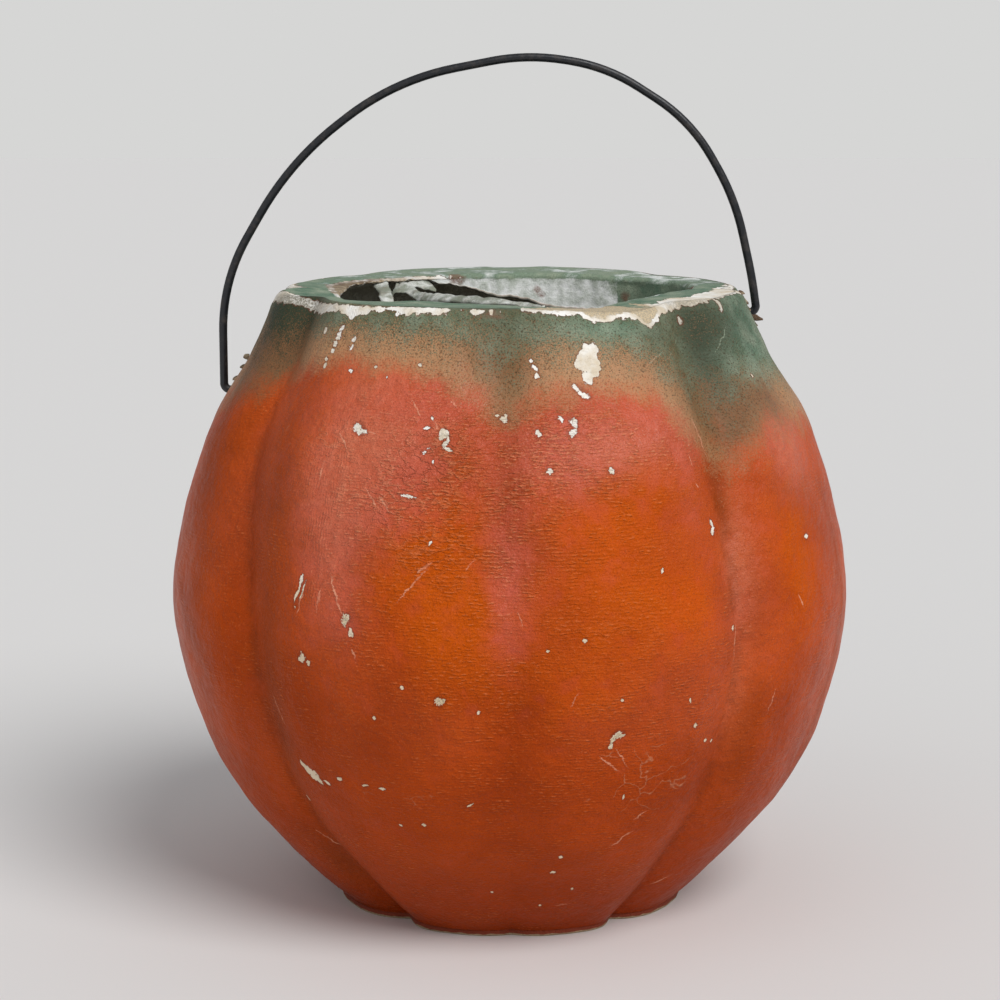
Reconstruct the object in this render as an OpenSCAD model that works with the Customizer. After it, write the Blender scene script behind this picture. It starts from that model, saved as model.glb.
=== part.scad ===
// A pumpkin pail for sweets: two pressed paper-pulp halves glued edge to edge at the sides,
// paper strips inside both joints, a card bottom, and a bent wire bail in two punched holes.
// The front is towards -Y, and the origin is on the ground under the middle of the bottom.

/* [Shell] */
// Width across the fattest lobes
body_d = 132; // [110:1:165]
// Height of the pressed shell, from the card bottom to the rim
shell_h = 118; // [100:1:145]
// Thickness of the pressed pulp
wall_t = 3; // [2:0.25:4]
// Number of lobes round the pumpkin
lobe_count = 8; // [8:4:12]
// Depth of a full furrow between two lobes
furrow_depth = 3.4; // [1:0.2:5]
// Width of the flat foot that the shell stands on
foot_w = 4.5; // [3.5:0.5:6]

/* [Rim] */
// Width of the round mouth in the turned-in rim
mouth_d = 62; // [44:1:68]
// Thickness of the turned-in rim
rim_t = 3; // [2:0.25:3.5]
// How far the turned-in rim sags at the mouth
rim_sag = 0.6; // [0:0.2:3]
// Rounding of the rim's outer edge
rim_round = 1.5; // [0.75:0.25:2]
// Depth of the lip that turns down round the mouth
lip_down = 6.5; // [5:0.25:8]
// Thickness of the turned-down lip
lip_t = 2.2; // [1.6:0.1:2.6]
// Rounding over the mouth's edge
lip_round = 1.4; // [0.8:0.1:1.6]

/* [Bottom and joints] */
// Thickness of the card bottom
card_t = 1.2; // [0.8:0.1:2]
// How far the card stands out past the shell's foot
card_proud = 0.3; // [0:0.1:0.6]
// Glue line between the two halves
seam_gap = 0.2; // [0.1:0.05:0.3]
// Thickness of the paper strip over a joint
strip_t = 0.6; // [0.4:0.1:1]
// Glue line under a paper strip
strip_gap = 0.2; // [0.15:0.05:0.3]

/* [Bail] */
// Thickness of the wire
wire_d = 1.6; // [1.2:0.1:2]
// Height of the bail's top above its left hole
bail_rise = 65; // [55:1:80]
// Depth of the left hole below the rim
left_hole_down = 20.7; // [16:0.1:25]
// Depth of the right hole below the rim
right_hole_down = 5.7; // [5.2:0.1:9]
// Distance of both holes behind the side joints
hole_back = 5; // [3.5:0.5:7]
// Play of the wire in its hole, on the radius
hole_clear = 0.08; // [0.04:0.01:0.1]
// Distance of the wire's outer bend from the wall
bend_out = 1.9; // [1.6:0.1:2.5]
// Radius of the tight bends, at the middle of the wire
bend_r = 1.3; // [1.2:0.1:1.5]
// Distance of the inner hook from the wall's inner face
hook_in = 4.6; // [4.4:0.1:6]
// Length of the inner hook that keeps the wire in its hole
hook_l = 6; // [4.5:0.5:7]
// How much fatter the wire is in a bend, on the radius
bend_swell = 0.01; // [0.005:0.005:0.02]

/* [Hidden] */
$fn = 48;

full_turn = 360;
right_angle = 90;
body_r = body_d / 2;
mouth_r = mouth_d / 2;
wire_r = wire_d / 2;
rim_z = card_t + shell_h;
bore_r = wire_r + hole_clear;
// How far a bore's cutter runs past the wall on both sides, in walls
bore_over_walls = 3;

// Steps round one lobe, and steps between two points of the profile
lobe_steps = 10;
profile_steps = 2;
column_angle = full_turn / lobe_count / lobe_steps;
columns = lobe_count * lobe_steps / 2;
// Columns of steps that a paper strip covers on each side of its joint
strip_columns = 2;

// Profile of the lobes' crests, as shares of the shell's height and of the body's radius
profile_shares = [
    [0, 0.52], [0.075, 0.655], [0.2, 0.835], [0.34, 0.948], [0.5, 1],
    [0.66, 0.956], [0.8, 0.873], [0.9, 0.762], [1, 0.68]
];
// Depth of each furrow as a share of a full one, counted from the front towards +X
furrow_shares = [0.4, 1.2, 1, 0.9, 0.9, 0.9, 1, 1.2];
// Bends of the bail above its holes: across as a share of the span, up as a share of the rise
bail_shares = [
    [0, 0.33], [0.13, 0.685], [0.326, 0.925], [0.57, 1],
    [0.717, 0.963], [0.873, 0.805], [0.957, 0.575], [0.99, 0.345]
];
// Share of a wire stretch that each of its two bends may use
bend_share = 0.46;
// How far a straight wire runs into the bends at its ends, as a share of the wire's radius
lap_share = 0.12;
// Rings from the rim down to the middle of the two holes' heights
rings_down_to_holes = 3;
// Points that each hook adds to the bail, its outer bend included
hook_points = 3;
// First and last ring of the inner wall that a paper strip covers
strip_first_ring = 2;
strip_last_ring = 14;

// A smooth curve through the points p, at the share t of the stretch i
function curve(p, i, t) =
    let (
        a = p[max(i - 1, 0)],
        b = p[i],
        c = p[i + 1],
        d = p[min(i + 2, len(p) - 1)]
    )
    (2 * b + (c - a) * t + (2 * a - 5 * b + 4 * c - d) * t * t + (3 * b - a - 3 * c + d) * t * t * t) / 2;

// Rings of the outer wall at the crests, as radius and height
ring_shares = concat(
    [
        for (i = [0 : len(profile_shares) - 2], k = [0 : profile_steps - 1])
            curve(profile_shares, i, k / profile_steps)
    ],
    [profile_shares[len(profile_shares) - 1]]
);
outer_rings = [for (s = ring_shares) [s[1] * body_r, card_t + s[0] * shell_h]];
last_ring = len(outer_rings) - 1;
radius_by_height = [for (p = outer_rings) [p[1], p[0]]];

function unit(v) = v / norm(v);
// Direction across the wall at ring i, pointing out of the pail
function across_wall(i) =
    let (along = unit(outer_rings[min(i + 1, last_ring)] - outer_rings[max(i - 1, 0)]))
    [along[1], -along[0]];
function inside_ring(i, depth) = outer_rings[i] - depth * across_wall(i);

foot_r = outer_rings[0][0];
rim_r = outer_rings[last_ring][0];
rim_in_r = rim_r - wall_t / across_wall(last_ring)[0];
lip_z = rim_z - rim_sag;
lip_end_z = lip_z - lip_down;

inwards = [-1, 0];
outwards = [1, 0];
downwards = [0, -1];
corner_share = 0.3;

// Three points that round a corner of the section, with how much of the furrow's depth they take
function rounded(corner, size, way_back, way_on, furrow_part) = [
    for (step = [way_back, corner_share * (way_back + way_on), way_on])
        let (p = corner + size * step)
        [p[0], p[1], furrow_part]
];

// The shell's section in two chains with as many points each, from the foot to the lip's end
outer_chain = concat(
    [for (i = [0 : last_ring - 1]) [outer_rings[i][0], outer_rings[i][1], 1]],
    rounded([rim_r, rim_z], rim_round, unit(outer_rings[last_ring - 1] - outer_rings[last_ring]), inwards, 1),
    rounded([mouth_r, lip_z], lip_round, outwards, downwards, 0),
    [[mouth_r, lip_end_z, 0]]
);
below_rim_in = inside_ring(last_ring - 1, wall_t);
rim_in = [rim_in_r, rim_z - rim_t];
inner_chain = concat(
    [[foot_r - foot_w, card_t, 1]],
    [
        for (i = [1 : last_ring - 1])
            let (p = inside_ring(i, wall_t))
            [p[0], p[1], 1]
    ],
    rounded(rim_in, rim_round, unit(below_rim_in - rim_in), inwards, 1),
    rounded([mouth_r + lip_t, lip_z - rim_t], lip_round, outwards, downwards, 0),
    [[mouth_r + lip_t, lip_end_z, 0]]
);
rows = len(outer_chain);
section = concat(outer_chain, [for (i = [rows - 1 : -1 : 0]) inner_chain[i]]);

// Depth of the furrows at an angle from the front, counted towards +X
function furrow(angle) =
    let (
        nearest = round(angle * lobe_count / full_turn),
        count = len(furrow_shares),
        share = furrow_shares[(nearest + count * lobe_count) % count]
    )
    furrow_depth * share * pow(1 - abs(sin(angle * lobe_count / 2)), 2);

// A point at an angle from the front, with its radius before the furrow is taken off
function lobed_point(angle, radius, height, furrow_part) =
    let (r = radius - furrow_part * furrow(angle))
    [r * sin(angle), -r * cos(angle), height];

// Half of the shell, from a start angle on, as one closed skin
module half_shell(start) {
    count = len(section);
    points = [
        for (j = [0 : columns], p = section)
            lobed_point(start + j * column_angle, p[0], p[1], p[2])
    ];
    skin = [
        for (j = [0 : columns - 1], i = [0 : count - 1])
            let (
                a = j * count + i,
                b = j * count + (i + 1) % count,
                c = b + count,
                d = a + count
            )
            each [[a, b, c], [a, c, d]]
    ];
    ends = [
        for (i = [0 : rows - 2])
            let (
                a = i,
                b = i + 1,
                c = count - 2 - i,
                d = count - 1 - i,
                last = columns * count
            )
            each [[d, c, b], [d, b, a], [last + a, last + b, last + c], [last + a, last + c, last + d]]
    ];
    polyhedron(points, concat(skin, ends));
}

// Where a hole goes through the outer wall at a height, on the right side
function hole_x(height) =
    let (
        r = lookup(height, radius_by_height),
        angle = asin(hole_back / r),
        wall_r = r - furrow(right_angle + angle)
    )
    wall_r * cos(angle);

left_hole_z = rim_z - left_hole_down;
right_hole_z = rim_z - right_hole_down;
left_hole = [-hole_x(left_hole_z), left_hole_z];
right_hole = [hole_x(right_hole_z), right_hole_z];
hinge_line = unit(right_hole - left_hole);
hinge_tilt = atan2(hinge_line[1], hinge_line[0]);

// Room that the wire turns in, along the line through both holes
module bail_bore(hole) {
    translate([hole[0], hole_back, hole[1]])
        rotate([0, right_angle - hinge_tilt, 0])
            cylinder(h = 2 * bore_over_walls * wall_t, r = bore_r, center = true);
}

module front_shell() {
    color("#c8521f")
        translate([0, -seam_gap / 2, 0])
            half_shell(-right_angle);
}

module back_shell() {
    color("#bf4c1d")
        difference() {
            translate([0, seam_gap / 2, 0])
                half_shell(right_angle);
            bail_bore(left_hole);
            bail_bore(right_hole);
        }
}

// Lobed disc of card, glued under the shell's foot
module base_card() {
    outline = [
        for (j = [0 : 2 * columns - 1])
            let (p = lobed_point(j * column_angle, foot_r + card_proud, 0, 1))
            [p[0], p[1]]
    ];
    color("#cdbb98")
        linear_extrude(height = card_t)
            polygon(outline);
}

// Paper strip that bridges a joint on the inner wall, centred on an angle
module seam_strip(middle) {
    rings = strip_last_ring - strip_first_ring + 1;
    across = 2 * strip_columns + 1;
    depths = [wall_t + strip_gap, wall_t + strip_gap + strip_t];
    points = [
        for (depth = depths, j = [-strip_columns : strip_columns], i = [strip_first_ring : strip_last_ring])
            let (p = inside_ring(i, depth))
            lobed_point(middle + j * column_angle, p[0], p[1], 1)
    ];
    layer = rings * across;
    sheet = [
        for (j = [0 : across - 2], i = [0 : rings - 2])
            let (
                a = j * rings + i,
                b = a + 1,
                c = b + rings,
                d = a + rings
            )
            each [[a, b, c], [a, c, d], [layer + a, layer + c, layer + b], [layer + a, layer + d, layer + c]]
    ];
    side_edges = [
        for (i = [0 : rings - 2])
            let (
                a = i,
                b = (across - 1) * rings + i
            )
            each [
                [a, layer + a, layer + a + 1], [a, layer + a + 1, a + 1],
                [b, b + 1, layer + b + 1], [b, layer + b + 1, layer + b]
            ]
    ];
    end_edges = [
        for (j = [0 : across - 2])
            let (
                a = j * rings,
                b = j * rings + rings - 1
            )
            each [
                [a, a + rings, layer + a + rings], [a, layer + a + rings, layer + a],
                [b, layer + b, layer + b + rings], [b, layer + b + rings, b + rings]
            ]
    ];
    polyhedron(points, concat(sheet, side_edges, end_edges));
}

module seam_strip_left() {
    color("#b79f78")
        difference() {
            seam_strip(-right_angle);
            bail_bore(left_hole);
        }
}

module seam_strip_right() {
    color("#b79f78")
        seam_strip(right_angle);
}

// The bail's bends in its own plane, from the left hook's end to the right hook's end
left_corner = left_hole - bend_out * hinge_line;
right_corner = right_hole + bend_out * hinge_line;
hook_down = [hinge_line[1], -hinge_line[0]];
wall_along_line = wall_t / across_wall(last_ring - rings_down_to_holes)[0];
left_turn = left_hole + (wall_along_line + hook_in) * hinge_line;
right_turn = right_hole - (wall_along_line + hook_in) * hinge_line;
span = right_corner[0] - left_corner[0];
bail_bends = concat(
    [left_turn + hook_l * hook_down, left_turn, left_corner],
    [for (s = bail_shares) left_corner + [s[0] * span, s[1] * bail_rise]],
    [right_corner, right_turn, right_turn + hook_l * hook_down]
);
last_bend = len(bail_bends) - 1;

function heading(a, b) = atan2(b[1] - a[1], b[0] - a[0]);
function turn_at(i) =
    let (
        raw = heading(bail_bends[i], bail_bends[i + 1]) - heading(bail_bends[i - 1], bail_bends[i])
    )
    raw - full_turn * round(raw / full_turn);
function stretch(i) = norm(bail_bends[i + 1] - bail_bends[i]);
function is_tight(i) = i < hook_points || i > last_bend - hook_points;
// Length of straight wire that a bend replaces on each side of its corner
function bend_run(i) =
    i == 0 || i == last_bend ? 0
    : is_tight(i) ? bend_r * tan(abs(turn_at(i)) / 2)
    : bend_share * min(stretch(i - 1), stretch(i));

// Straight wire from one bend to the next
module wire_straight(i) {
    direction = unit(bail_bends[i + 1] - bail_bends[i]);
    first_lap = i == 0 ? 0 : lap_share * wire_r;
    last_lap = i == last_bend - 1 ? 0 : lap_share * wire_r;
    start = bail_bends[i] + (bend_run(i) - first_lap) * direction;
    length = stretch(i) - bend_run(i) - bend_run(i + 1) + first_lap + last_lap;
    translate([start[0], start[1], 0])
        rotate([0, right_angle, heading(bail_bends[i], bail_bends[i + 1])])
            cylinder(h = length, r = wire_r);
}

// Round bend of the wire at one corner
module wire_bend(i) {
    way_in = heading(bail_bends[i - 1], bail_bends[i]);
    turn = turn_at(i);
    side = sign(turn);
    r = bend_run(i) / tan(abs(turn) / 2);
    start = bail_bends[i] - bend_run(i) * [cos(way_in), sin(way_in)];
    centre = start + side * r * [-sin(way_in), cos(way_in)];
    translate([centre[0], centre[1], 0])
        rotate([0, 0, way_in - side * right_angle])
            rotate_extrude(angle = turn)
                translate([r, 0])
                    circle(r = wire_r + bend_swell);
}

module bail() {
    color("#1f232c")
        translate([0, hole_back, 0])
            rotate([right_angle, 0, 0]) {
                for (i = [0 : last_bend - 1])
                    wire_straight(i);
                for (i = [1 : last_bend - 1])
                    wire_bend(i);
            }
}

front_shell();
back_shell();
base_card();
seam_strip_left();
seam_strip_right();
bail();
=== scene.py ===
import math

import bpy
import numpy as np
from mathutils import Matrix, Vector, noise


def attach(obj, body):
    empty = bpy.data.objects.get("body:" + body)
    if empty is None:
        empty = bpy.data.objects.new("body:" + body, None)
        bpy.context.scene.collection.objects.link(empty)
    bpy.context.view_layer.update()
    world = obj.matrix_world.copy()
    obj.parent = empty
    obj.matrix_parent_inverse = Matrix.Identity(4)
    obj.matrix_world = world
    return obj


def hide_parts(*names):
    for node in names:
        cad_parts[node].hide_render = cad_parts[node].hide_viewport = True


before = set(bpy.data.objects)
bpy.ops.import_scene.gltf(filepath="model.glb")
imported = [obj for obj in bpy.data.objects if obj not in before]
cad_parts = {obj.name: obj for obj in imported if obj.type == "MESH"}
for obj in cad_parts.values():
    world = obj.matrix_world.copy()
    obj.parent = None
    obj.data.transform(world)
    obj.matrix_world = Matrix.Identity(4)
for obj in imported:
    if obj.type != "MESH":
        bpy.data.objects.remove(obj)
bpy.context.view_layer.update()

# The camera stands half a metre in front of the pail, a little above its rim, and looks down on
# it. Places on the pail that were chosen are given as pixels of this picture.
MM = 0.001
PICTURE = 1000
FOCAL = 2693
MIDDLE = (511, 500)
EYE = np.array([0, -518, 168.4])
LOOK_DOWN = math.radians(9.97)
SENSOR = 36

camera_data = bpy.data.cameras.new("camera")
camera_data.sensor_width = SENSOR
camera_data.lens = SENSOR * FOCAL / PICTURE
camera_data.shift_x = (PICTURE / 2 - MIDDLE[0]) / PICTURE
camera_data.shift_y = (MIDDLE[1] - PICTURE / 2) / PICTURE
camera = bpy.data.objects.new("camera", camera_data)
camera.location = EYE * MM
camera.rotation_euler = (math.pi / 2 - LOOK_DOWN, 0, 0)
bpy.context.scene.collection.objects.link(camera)
bpy.context.scene.camera = camera


def sight(u, v):
    """Direction in which the camera sees a pixel."""
    across = (u - MIDDLE[0]) / FOCAL
    up = (MIDDLE[1] - v) / FOCAL
    ahead = np.array([0, math.cos(LOOK_DOWN), -math.sin(LOOK_DOWN)])
    above = np.array([0, math.sin(LOOK_DOWN), math.cos(LOOK_DOWN)])
    return ahead + above * up + np.array([across, 0, 0])


def pixels(points):
    """Pixels at which the camera sees points given in mm."""
    x, y, z = (points - EYE).T
    depth = y * math.cos(LOOK_DOWN) - z * math.sin(LOOK_DOWN)
    up = y * math.sin(LOOK_DOWN) + z * math.cos(LOOK_DOWN)
    return np.stack([MIDDLE[0] + FOCAL * x / depth, MIDDLE[1] - FOCAL * up / depth], axis=-1)


# The two half shells are paper pulp, pressed in a mould and dried. Their edges are glued at the
# sides, a coat of white gesso hides the joint and the pulp, and orange and green paint go on top.
BODY_R = 66
SHELL_H = 118
CARD_T = 1.2
WALL_T = 3
FURROW_DEPTH = 3.4
FOOT_W = 4.5
SEAM_GAP = 0.04
RIM_Z = CARD_T + SHELL_H
RIM_T = 3
RIM_ROUND = 1.5
MOUTH_R = 31
LIP_T = 2.2

# Height and radius of the lobes' crests, as shares of the shell's height and of the body's radius
PROFILE = [
    (0, 0.52), (0.075, 0.655), (0.2, 0.835), (0.34, 0.948), (0.5, 1),
    (0.66, 0.956), (0.8, 0.873), (0.9, 0.762), (1, 0.68),
]
# Furrows from the front towards +X: depth as a share, and angle at the foot, at a quarter, at the
# half, at three quarters of the height and at the rim
FURROWS = [
    (0.4, (0, 0, 0, -1, -1)), (1.2, (38, 39, 40.5, 39, 46)), (1, (90, 90, 90, 90, 90)),
    (0.9, (133, 134, 136, 135, 134)), (0.9, (180, 181, 179, 180, 181)),
    (0.9, (226, 224, 225, 226, 227)), (1, (270, 270, 270, 270, 270)),
    (1.2, (321, 314, 312, 305, 299)),
]
FURROW_LEVELS = (0, 0.25, 0.5, 0.75, 1)
CREASE_SOFTNESS = 0.06
SOFTER_AT_RIM = 0.16


def smooth(points, steps):
    """A smooth curve through points, with so many steps between two of them."""
    p = np.array(points, float)
    p = np.vstack([p[:1], p, p[-1:]])
    t = np.linspace(0, 1, steps, endpoint=False)[:, None]
    runs = [
        (2 * b + (c - a) * t + (2 * a - 5 * b + 4 * c - d) * t**2 + (3 * b - a - 3 * c + d) * t**3) / 2
        for a, b, c, d in zip(p, p[1:], p[2:], p[3:])
    ]
    return np.vstack([*runs, p[-1:]])


crest = smooth(PROFILE, 40) * (SHELL_H, BODY_R) + (CARD_T, 0)
crest_z, crest_r = crest.T
crest_up = np.concatenate([[0], np.cumsum(np.hypot(np.diff(crest_z), np.diff(crest_r)))])
WALL_UP = np.interp(RIM_Z - RIM_ROUND, crest_z, crest_up)


def furrow(angle, height):
    """Depth of the furrows at an angle from the front, in degrees, and a height, both as arrays."""
    level = np.clip((height - CARD_T) / SHELL_H, 0, 1)
    angle = np.mod(angle + 20, 360) - 20
    depth = np.zeros(np.broadcast(angle, height).shape)
    softness = CREASE_SOFTNESS + SOFTER_AT_RIM * np.clip((level - 0.7) / 0.2, 0, 1)
    full_depth = FURROW_DEPTH * ((1 - CREASE_SOFTNESS) / (1 - softness)) ** 2
    paths = [(share, np.interp(level, FURROW_LEVELS, path)) for share, path in FURROWS]
    paths.append((paths[0][0], paths[0][1] + 360))
    for (share, here), (next_share, there) in zip(paths, paths[1:]):
        way = (angle - here) / (there - here)
        rise = np.sqrt(np.sin(math.pi * way) ** 2 + softness**2)
        dip = full_depth * np.where(way < 0.5, share, next_share) * np.clip(1 - rise, 0, 1) ** 2
        depth = np.where((way >= 0) & (way < 1), dip, depth)
    before = (angle - (paths[7][1] - 360)) / (paths[0][1] - paths[7][1] + 360)
    rise = np.sqrt(np.sin(math.pi * before) ** 2 + softness**2)
    dip = full_depth * np.where(before < 0.5, FURROWS[7][0], FURROWS[0][0]) * np.clip(1 - rise, 0, 1) ** 2
    return np.where((before >= 0) & (before < 1), dip, depth)


def wall_place(u, v):
    """Angle from the front and way up the wall of the place that a pixel of the picture shows."""
    path = EYE + sight(u, v) * np.linspace(440, 560, 2400)[:, None]
    x, y, z = path.T
    angle = np.degrees(np.arctan2(x, -y))
    gap = np.hypot(x, y) - np.interp(z, crest_z, crest_r) + furrow(angle, z)
    gap[(z < CARD_T) | (z > RIM_Z)] = BODY_R
    met = np.argmax(gap < 0) if (gap < 0).any() else np.argmin(gap)
    return angle[met], np.interp(z[met], crest_z, crest_up)


# How the rim and the mouth stray from a true circle, by angle: height of the rim, how far the
# turned-in rim sags at the mouth, the mouth's radius, and how deep the lip hangs where it isn't torn
RIM_RISE = [
    (-180, 0), (-135, -0.3), (-110, -0.6), (-90, -0.2), (-68, -0.3), (-50, 0), (-13, 0.1), (3, 0),
    (15, -0.3), (24, -0.8), (31, -0.9), (40, -0.3), (55, 0), (74, 0), (90, -0.4), (110, -0.5),
    (125, -0.5), (141, -0.3), (157, -0.1),
]
SAG = [
    (-180, 0.1), (-150, 0.1), (-120, 0), (-104, 0.1), (-90, 0.7), (-75, 1.5), (-60, 1.3), (-45, 0.8),
    (-30, 0.2), (-15, 0.3), (0, 0.4), (15, 0.4), (30, 0.1), (45, 0.3), (60, 0.4), (80, 0.2), (100, 0),
    (120, 0), (150, 0.1),
]
MOUTH_STRAY = [
    (-180, -1.1), (-168, -1.2), (-153, 0), (-140, 1.5), (-130, 2.2), (-122, 3.1), (-112, 3), (-104, 2.2),
    (-97, 1.4), (-88, 2), (-76, 1.4), (-60, 0.6), (-48, -0.2), (-30, -0.6), (-10, -0.4), (0, 0),
    (12, -0.8), (20, -0.6), (34, -1), (47, -1), (60, -1.4), (68, -2), (75, -0.8), (86, 2.6), (98, 4.4),
    (112, 5.6), (124, 5.2), (136, 3.6), (148, 2), (162, 1.4), (171, 0),
]
LIP_ROUND = [
    (-180, 1.4), (-156, 1.2), (-142, 0.7), (-96, 0.7), (-78, 1.2), (-60, 1.4), (170, 1.4),
]
LIP_DEEP = [
    (-180, 3.9), (-176, 3.5), (-170, 2.6), (-164, 1.8), (-156, 0.8), (-148, 0.1), (-138, 0), (-130, 0.2),
    (-122, 0), (-105, 0.1), (-92, 0.4), (-80, 1.4), (-65, 3), (-45, 4), (-20, 5), (10, 4.4), (40, 5),
    (70, 5.4), (95, 5.8), (120, 6.2), (135, 6), (145, 6.2), (155, 6.2), (162, 6), (168, 5.4), (173, 4.6),
]


def by_angle(table, angle):
    """A value from a table of angles and values, which goes on round the pail."""
    at, value = zip(*sorted(table))
    return np.interp(angle, at, value, period=360)


def lumps(points, size, seed):
    """Smooth noise between -1 and 1, with lumps of about this size, at each point."""
    shift = Vector((seed, 2.7 * seed, -1.3 * seed))
    flat = points.reshape(-1, 3) / size
    return np.array([noise.noise(Vector(p) + shift) for p in flat]).reshape(points.shape[:-1])


def line(a, b, count):
    """Points from a to b in each column, without b."""
    t = np.linspace(0, 1, count, endpoint=False)[:, None]
    return a[:, None] * (1 - t) + b[:, None] * t


def bend(a, corner, b, count):
    """Points from a to b in each column, rounded past a corner, without b."""
    t = np.linspace(0, 1, count, endpoint=False)[:, None]
    return a[:, None] * (1 - t) ** 2 + 2 * corner[:, None] * t * (1 - t) + b[:, None] * t**2


# Bare places in the paint, chosen on the picture: pixel, width and height in mm, tilt in degrees
# clockwise. The first list shows white gesso, and the second shows grey pulp under it.
CHIPS = [
    (590, 351, 3.2, 3.2, 10), (586, 362, 4.4, 4.4, 0), (592, 366, 3, 5, 10), (589, 377, 2, 3, -5),
    (576, 387, 1.4, 1.8, -30), (583, 394, 3, 1.5, 25), (531, 361, 0.9, 0.8, 0), (535, 368, 0.9, 2, -35),
    (537, 376, 1, 1.4, 0), (574, 423, 1.3, 2.4, 5), (573, 433, 1.5, 2.2, 15), (561, 419, 1, 1.6, -10),
    (538, 434, 1, 1.9, -20), (549.5, 471.5, 1.2, 1.3, 0), (612, 470.5, 1.5, 1.5, 0),
    (359.5, 428.3, 2.9, 1.7, 22), (364.5, 431, 2, 1, 40), (444, 434.5, 2.1, 2.2, 0),
    (445.5, 442, 1, 3, 8), (448, 449.5, 2, 0.8, 10), (427, 427.7, 1.5, 0.7, 0),
    (432.5, 418, 0.6, 1, -20), (422.5, 452.5, 1.7, 0.6, -35), (427.5, 449.5, 1.4, 0.7, 20),
    (407, 496.5, 3.8, 0.7, 8), (432.6, 462, 0.6, 0.8, 0), (503, 420, 1.5, 1.6, 0),
    (497, 416, 0.9, 0.8, 0), (506, 416, 0.8, 1, 0), (300.5, 580, 1, 2.4, 12), (297, 592, 0.6, 4.6, 16),
    (302, 590, 0.4, 4.4, 16), (295, 607, 1.1, 1.4, 0), (302, 658, 2, 1.5, 0), (309, 663, 1.2, 1.2, 0),
    (351, 634, 1.1, 1.5, 0), (373.6, 718, 0.9, 1, 0), (302.5, 764, 1.4, 1.8, -38),
    (308, 770, 1.9, 3.4, -42), (313.5, 775.5, 1.9, 3.6, -46), (319, 780.5, 1.4, 2.8, -50),
    (327, 783, 1.9, 0.9, 15), (339, 779, 1.3, 0.8, 35), (553, 873, 1.2, 1, 0), (561, 857, 1, 0.8, 0),
    (694, 725, 0.9, 1.3, 0), (704, 740, 1, 0.9, 0), (710, 740.5, 0.9, 0.8, 0), (711, 523, 0.9, 1.8, -15),
    (713, 530, 1.6, 2, 0), (806, 537, 1.6, 1, 0), (679.5, 320, 1.3, 2, 10), (720, 308, 0.9, 1.8, 0),
    (750.5, 375.5, 1, 1, 0), (342, 328, 1, 1.6, 20), (339, 336, 1.1, 2.2, 25), (335, 344, 1, 1.4, 25),
    (332, 351, 1.1, 1, 0), (327, 359, 1, 1, 0), (325, 364, 0.9, 1.4, 15), (354, 340, 0.8, 1.6, 25),
    (351, 347, 0.8, 1.2, 25), (325, 331, 0.8, 1.2, 0), (352, 371, 1, 1, 0), (376, 367, 0.9, 0.7, 0),
    (420, 365, 0.9, 0.7, 0), (401, 688, 0.8, 0.9, 0), (585, 641, 1, 0.9, 0), (733, 628, 1, 1.2, 0),
    (365, 786, 1.6, 0.6, 8), (382, 789, 1.6, 0.7, 5), (424, 825, 0.9, 0.9, 0), (401, 825, 0.9, 0.7, 30),
    (308, 798, 0.8, 1.8, -25), (430, 543, 0.5, 1.1, 30), (470, 805, 0.5, 1.6, 60),
    (690, 700, 0.5, 1.2, 0), (388, 377, 0.5, 0.7, 0), (624, 797, 0.5, 1.4, 10), (540, 905, 0.6, 0.8, 0),
    (492, 892, 0.7, 0.6, 0), (573, 889, 0.6, 0.9, 0), (478, 713, 0.7, 0.9, 0), (548, 651, 0.8, 0.7, 0),
    (663, 571, 0.7, 1.2, 10), (622, 700, 0.8, 0.7, 0),
]
PULP_CHIPS = [
    (344.5, 620, 1.6, 2.6, -15), (350, 631, 0.8, 1.6, -25), (440, 702, 2.4, 1.7, -20),
    (613, 739, 1.5, 2, 0), (618, 736, 3, 1.5, -15), (611, 746, 0.9, 1.6, 15),
]
# Thin scratches in the paint, which show as pale lines
SCRATCHES = [
    (337, 600, 0.4, 8, -24), (332, 583, 0.3, 3, -30), (413, 585, 0.4, 8, 40), (424, 569, 0.4, 4, 50),
    (352.5, 428.7, 0.5, 2, 85), (371, 433, 0.4, 2.2, 95), (416, 408, 0.3, 5, -38),
    (436, 425, 0.3, 3, -35), (454, 404, 0.35, 2.2, -40), (370, 498, 0.35, 4, -35),
    (384, 505, 0.35, 3.6, -40), (343, 440, 0.35, 4.4, -35), (300, 600, 0.3, 6, 10),
    (353, 655, 0.4, 2.6, -20), (281, 712, 0.3, 8, -25), (330, 838, 0.35, 6, -40), (318, 600, 0.35, 5, 8),
    (322, 470, 0.4, 5, 5), (700, 440, 0.35, 7, -15), (694, 425, 0.4, 3, -20), (672, 350, 0.25, 8, 60),
    (655, 358, 0.25, 6, 62), (720, 340, 0.25, 7, 48), (640, 815, 0.4, 3, 50), (618, 842, 0.35, 4, 45),
    (628, 835, 0.35, 3, 48), (690, 460, 0.35, 2.4, -25), (697, 486, 0.4, 1.4, -30),
    (610, 765, 0.3, 6, -50), (622, 758, 0.3, 5, -35), (575, 700, 0.3, 3, 30), (520, 620, 0.3, 3, -20),
    (470, 565, 0.3, 2.6, 40), (560, 905, 0.4, 3, 80), (735, 640, 0.3, 9, 5), (772, 700, 0.3, 5, 10),
    (800, 600, 0.3, 3, -30), (660, 880, 0.3, 5, 50), (420, 905, 0.35, 3, 70),
]
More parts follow.
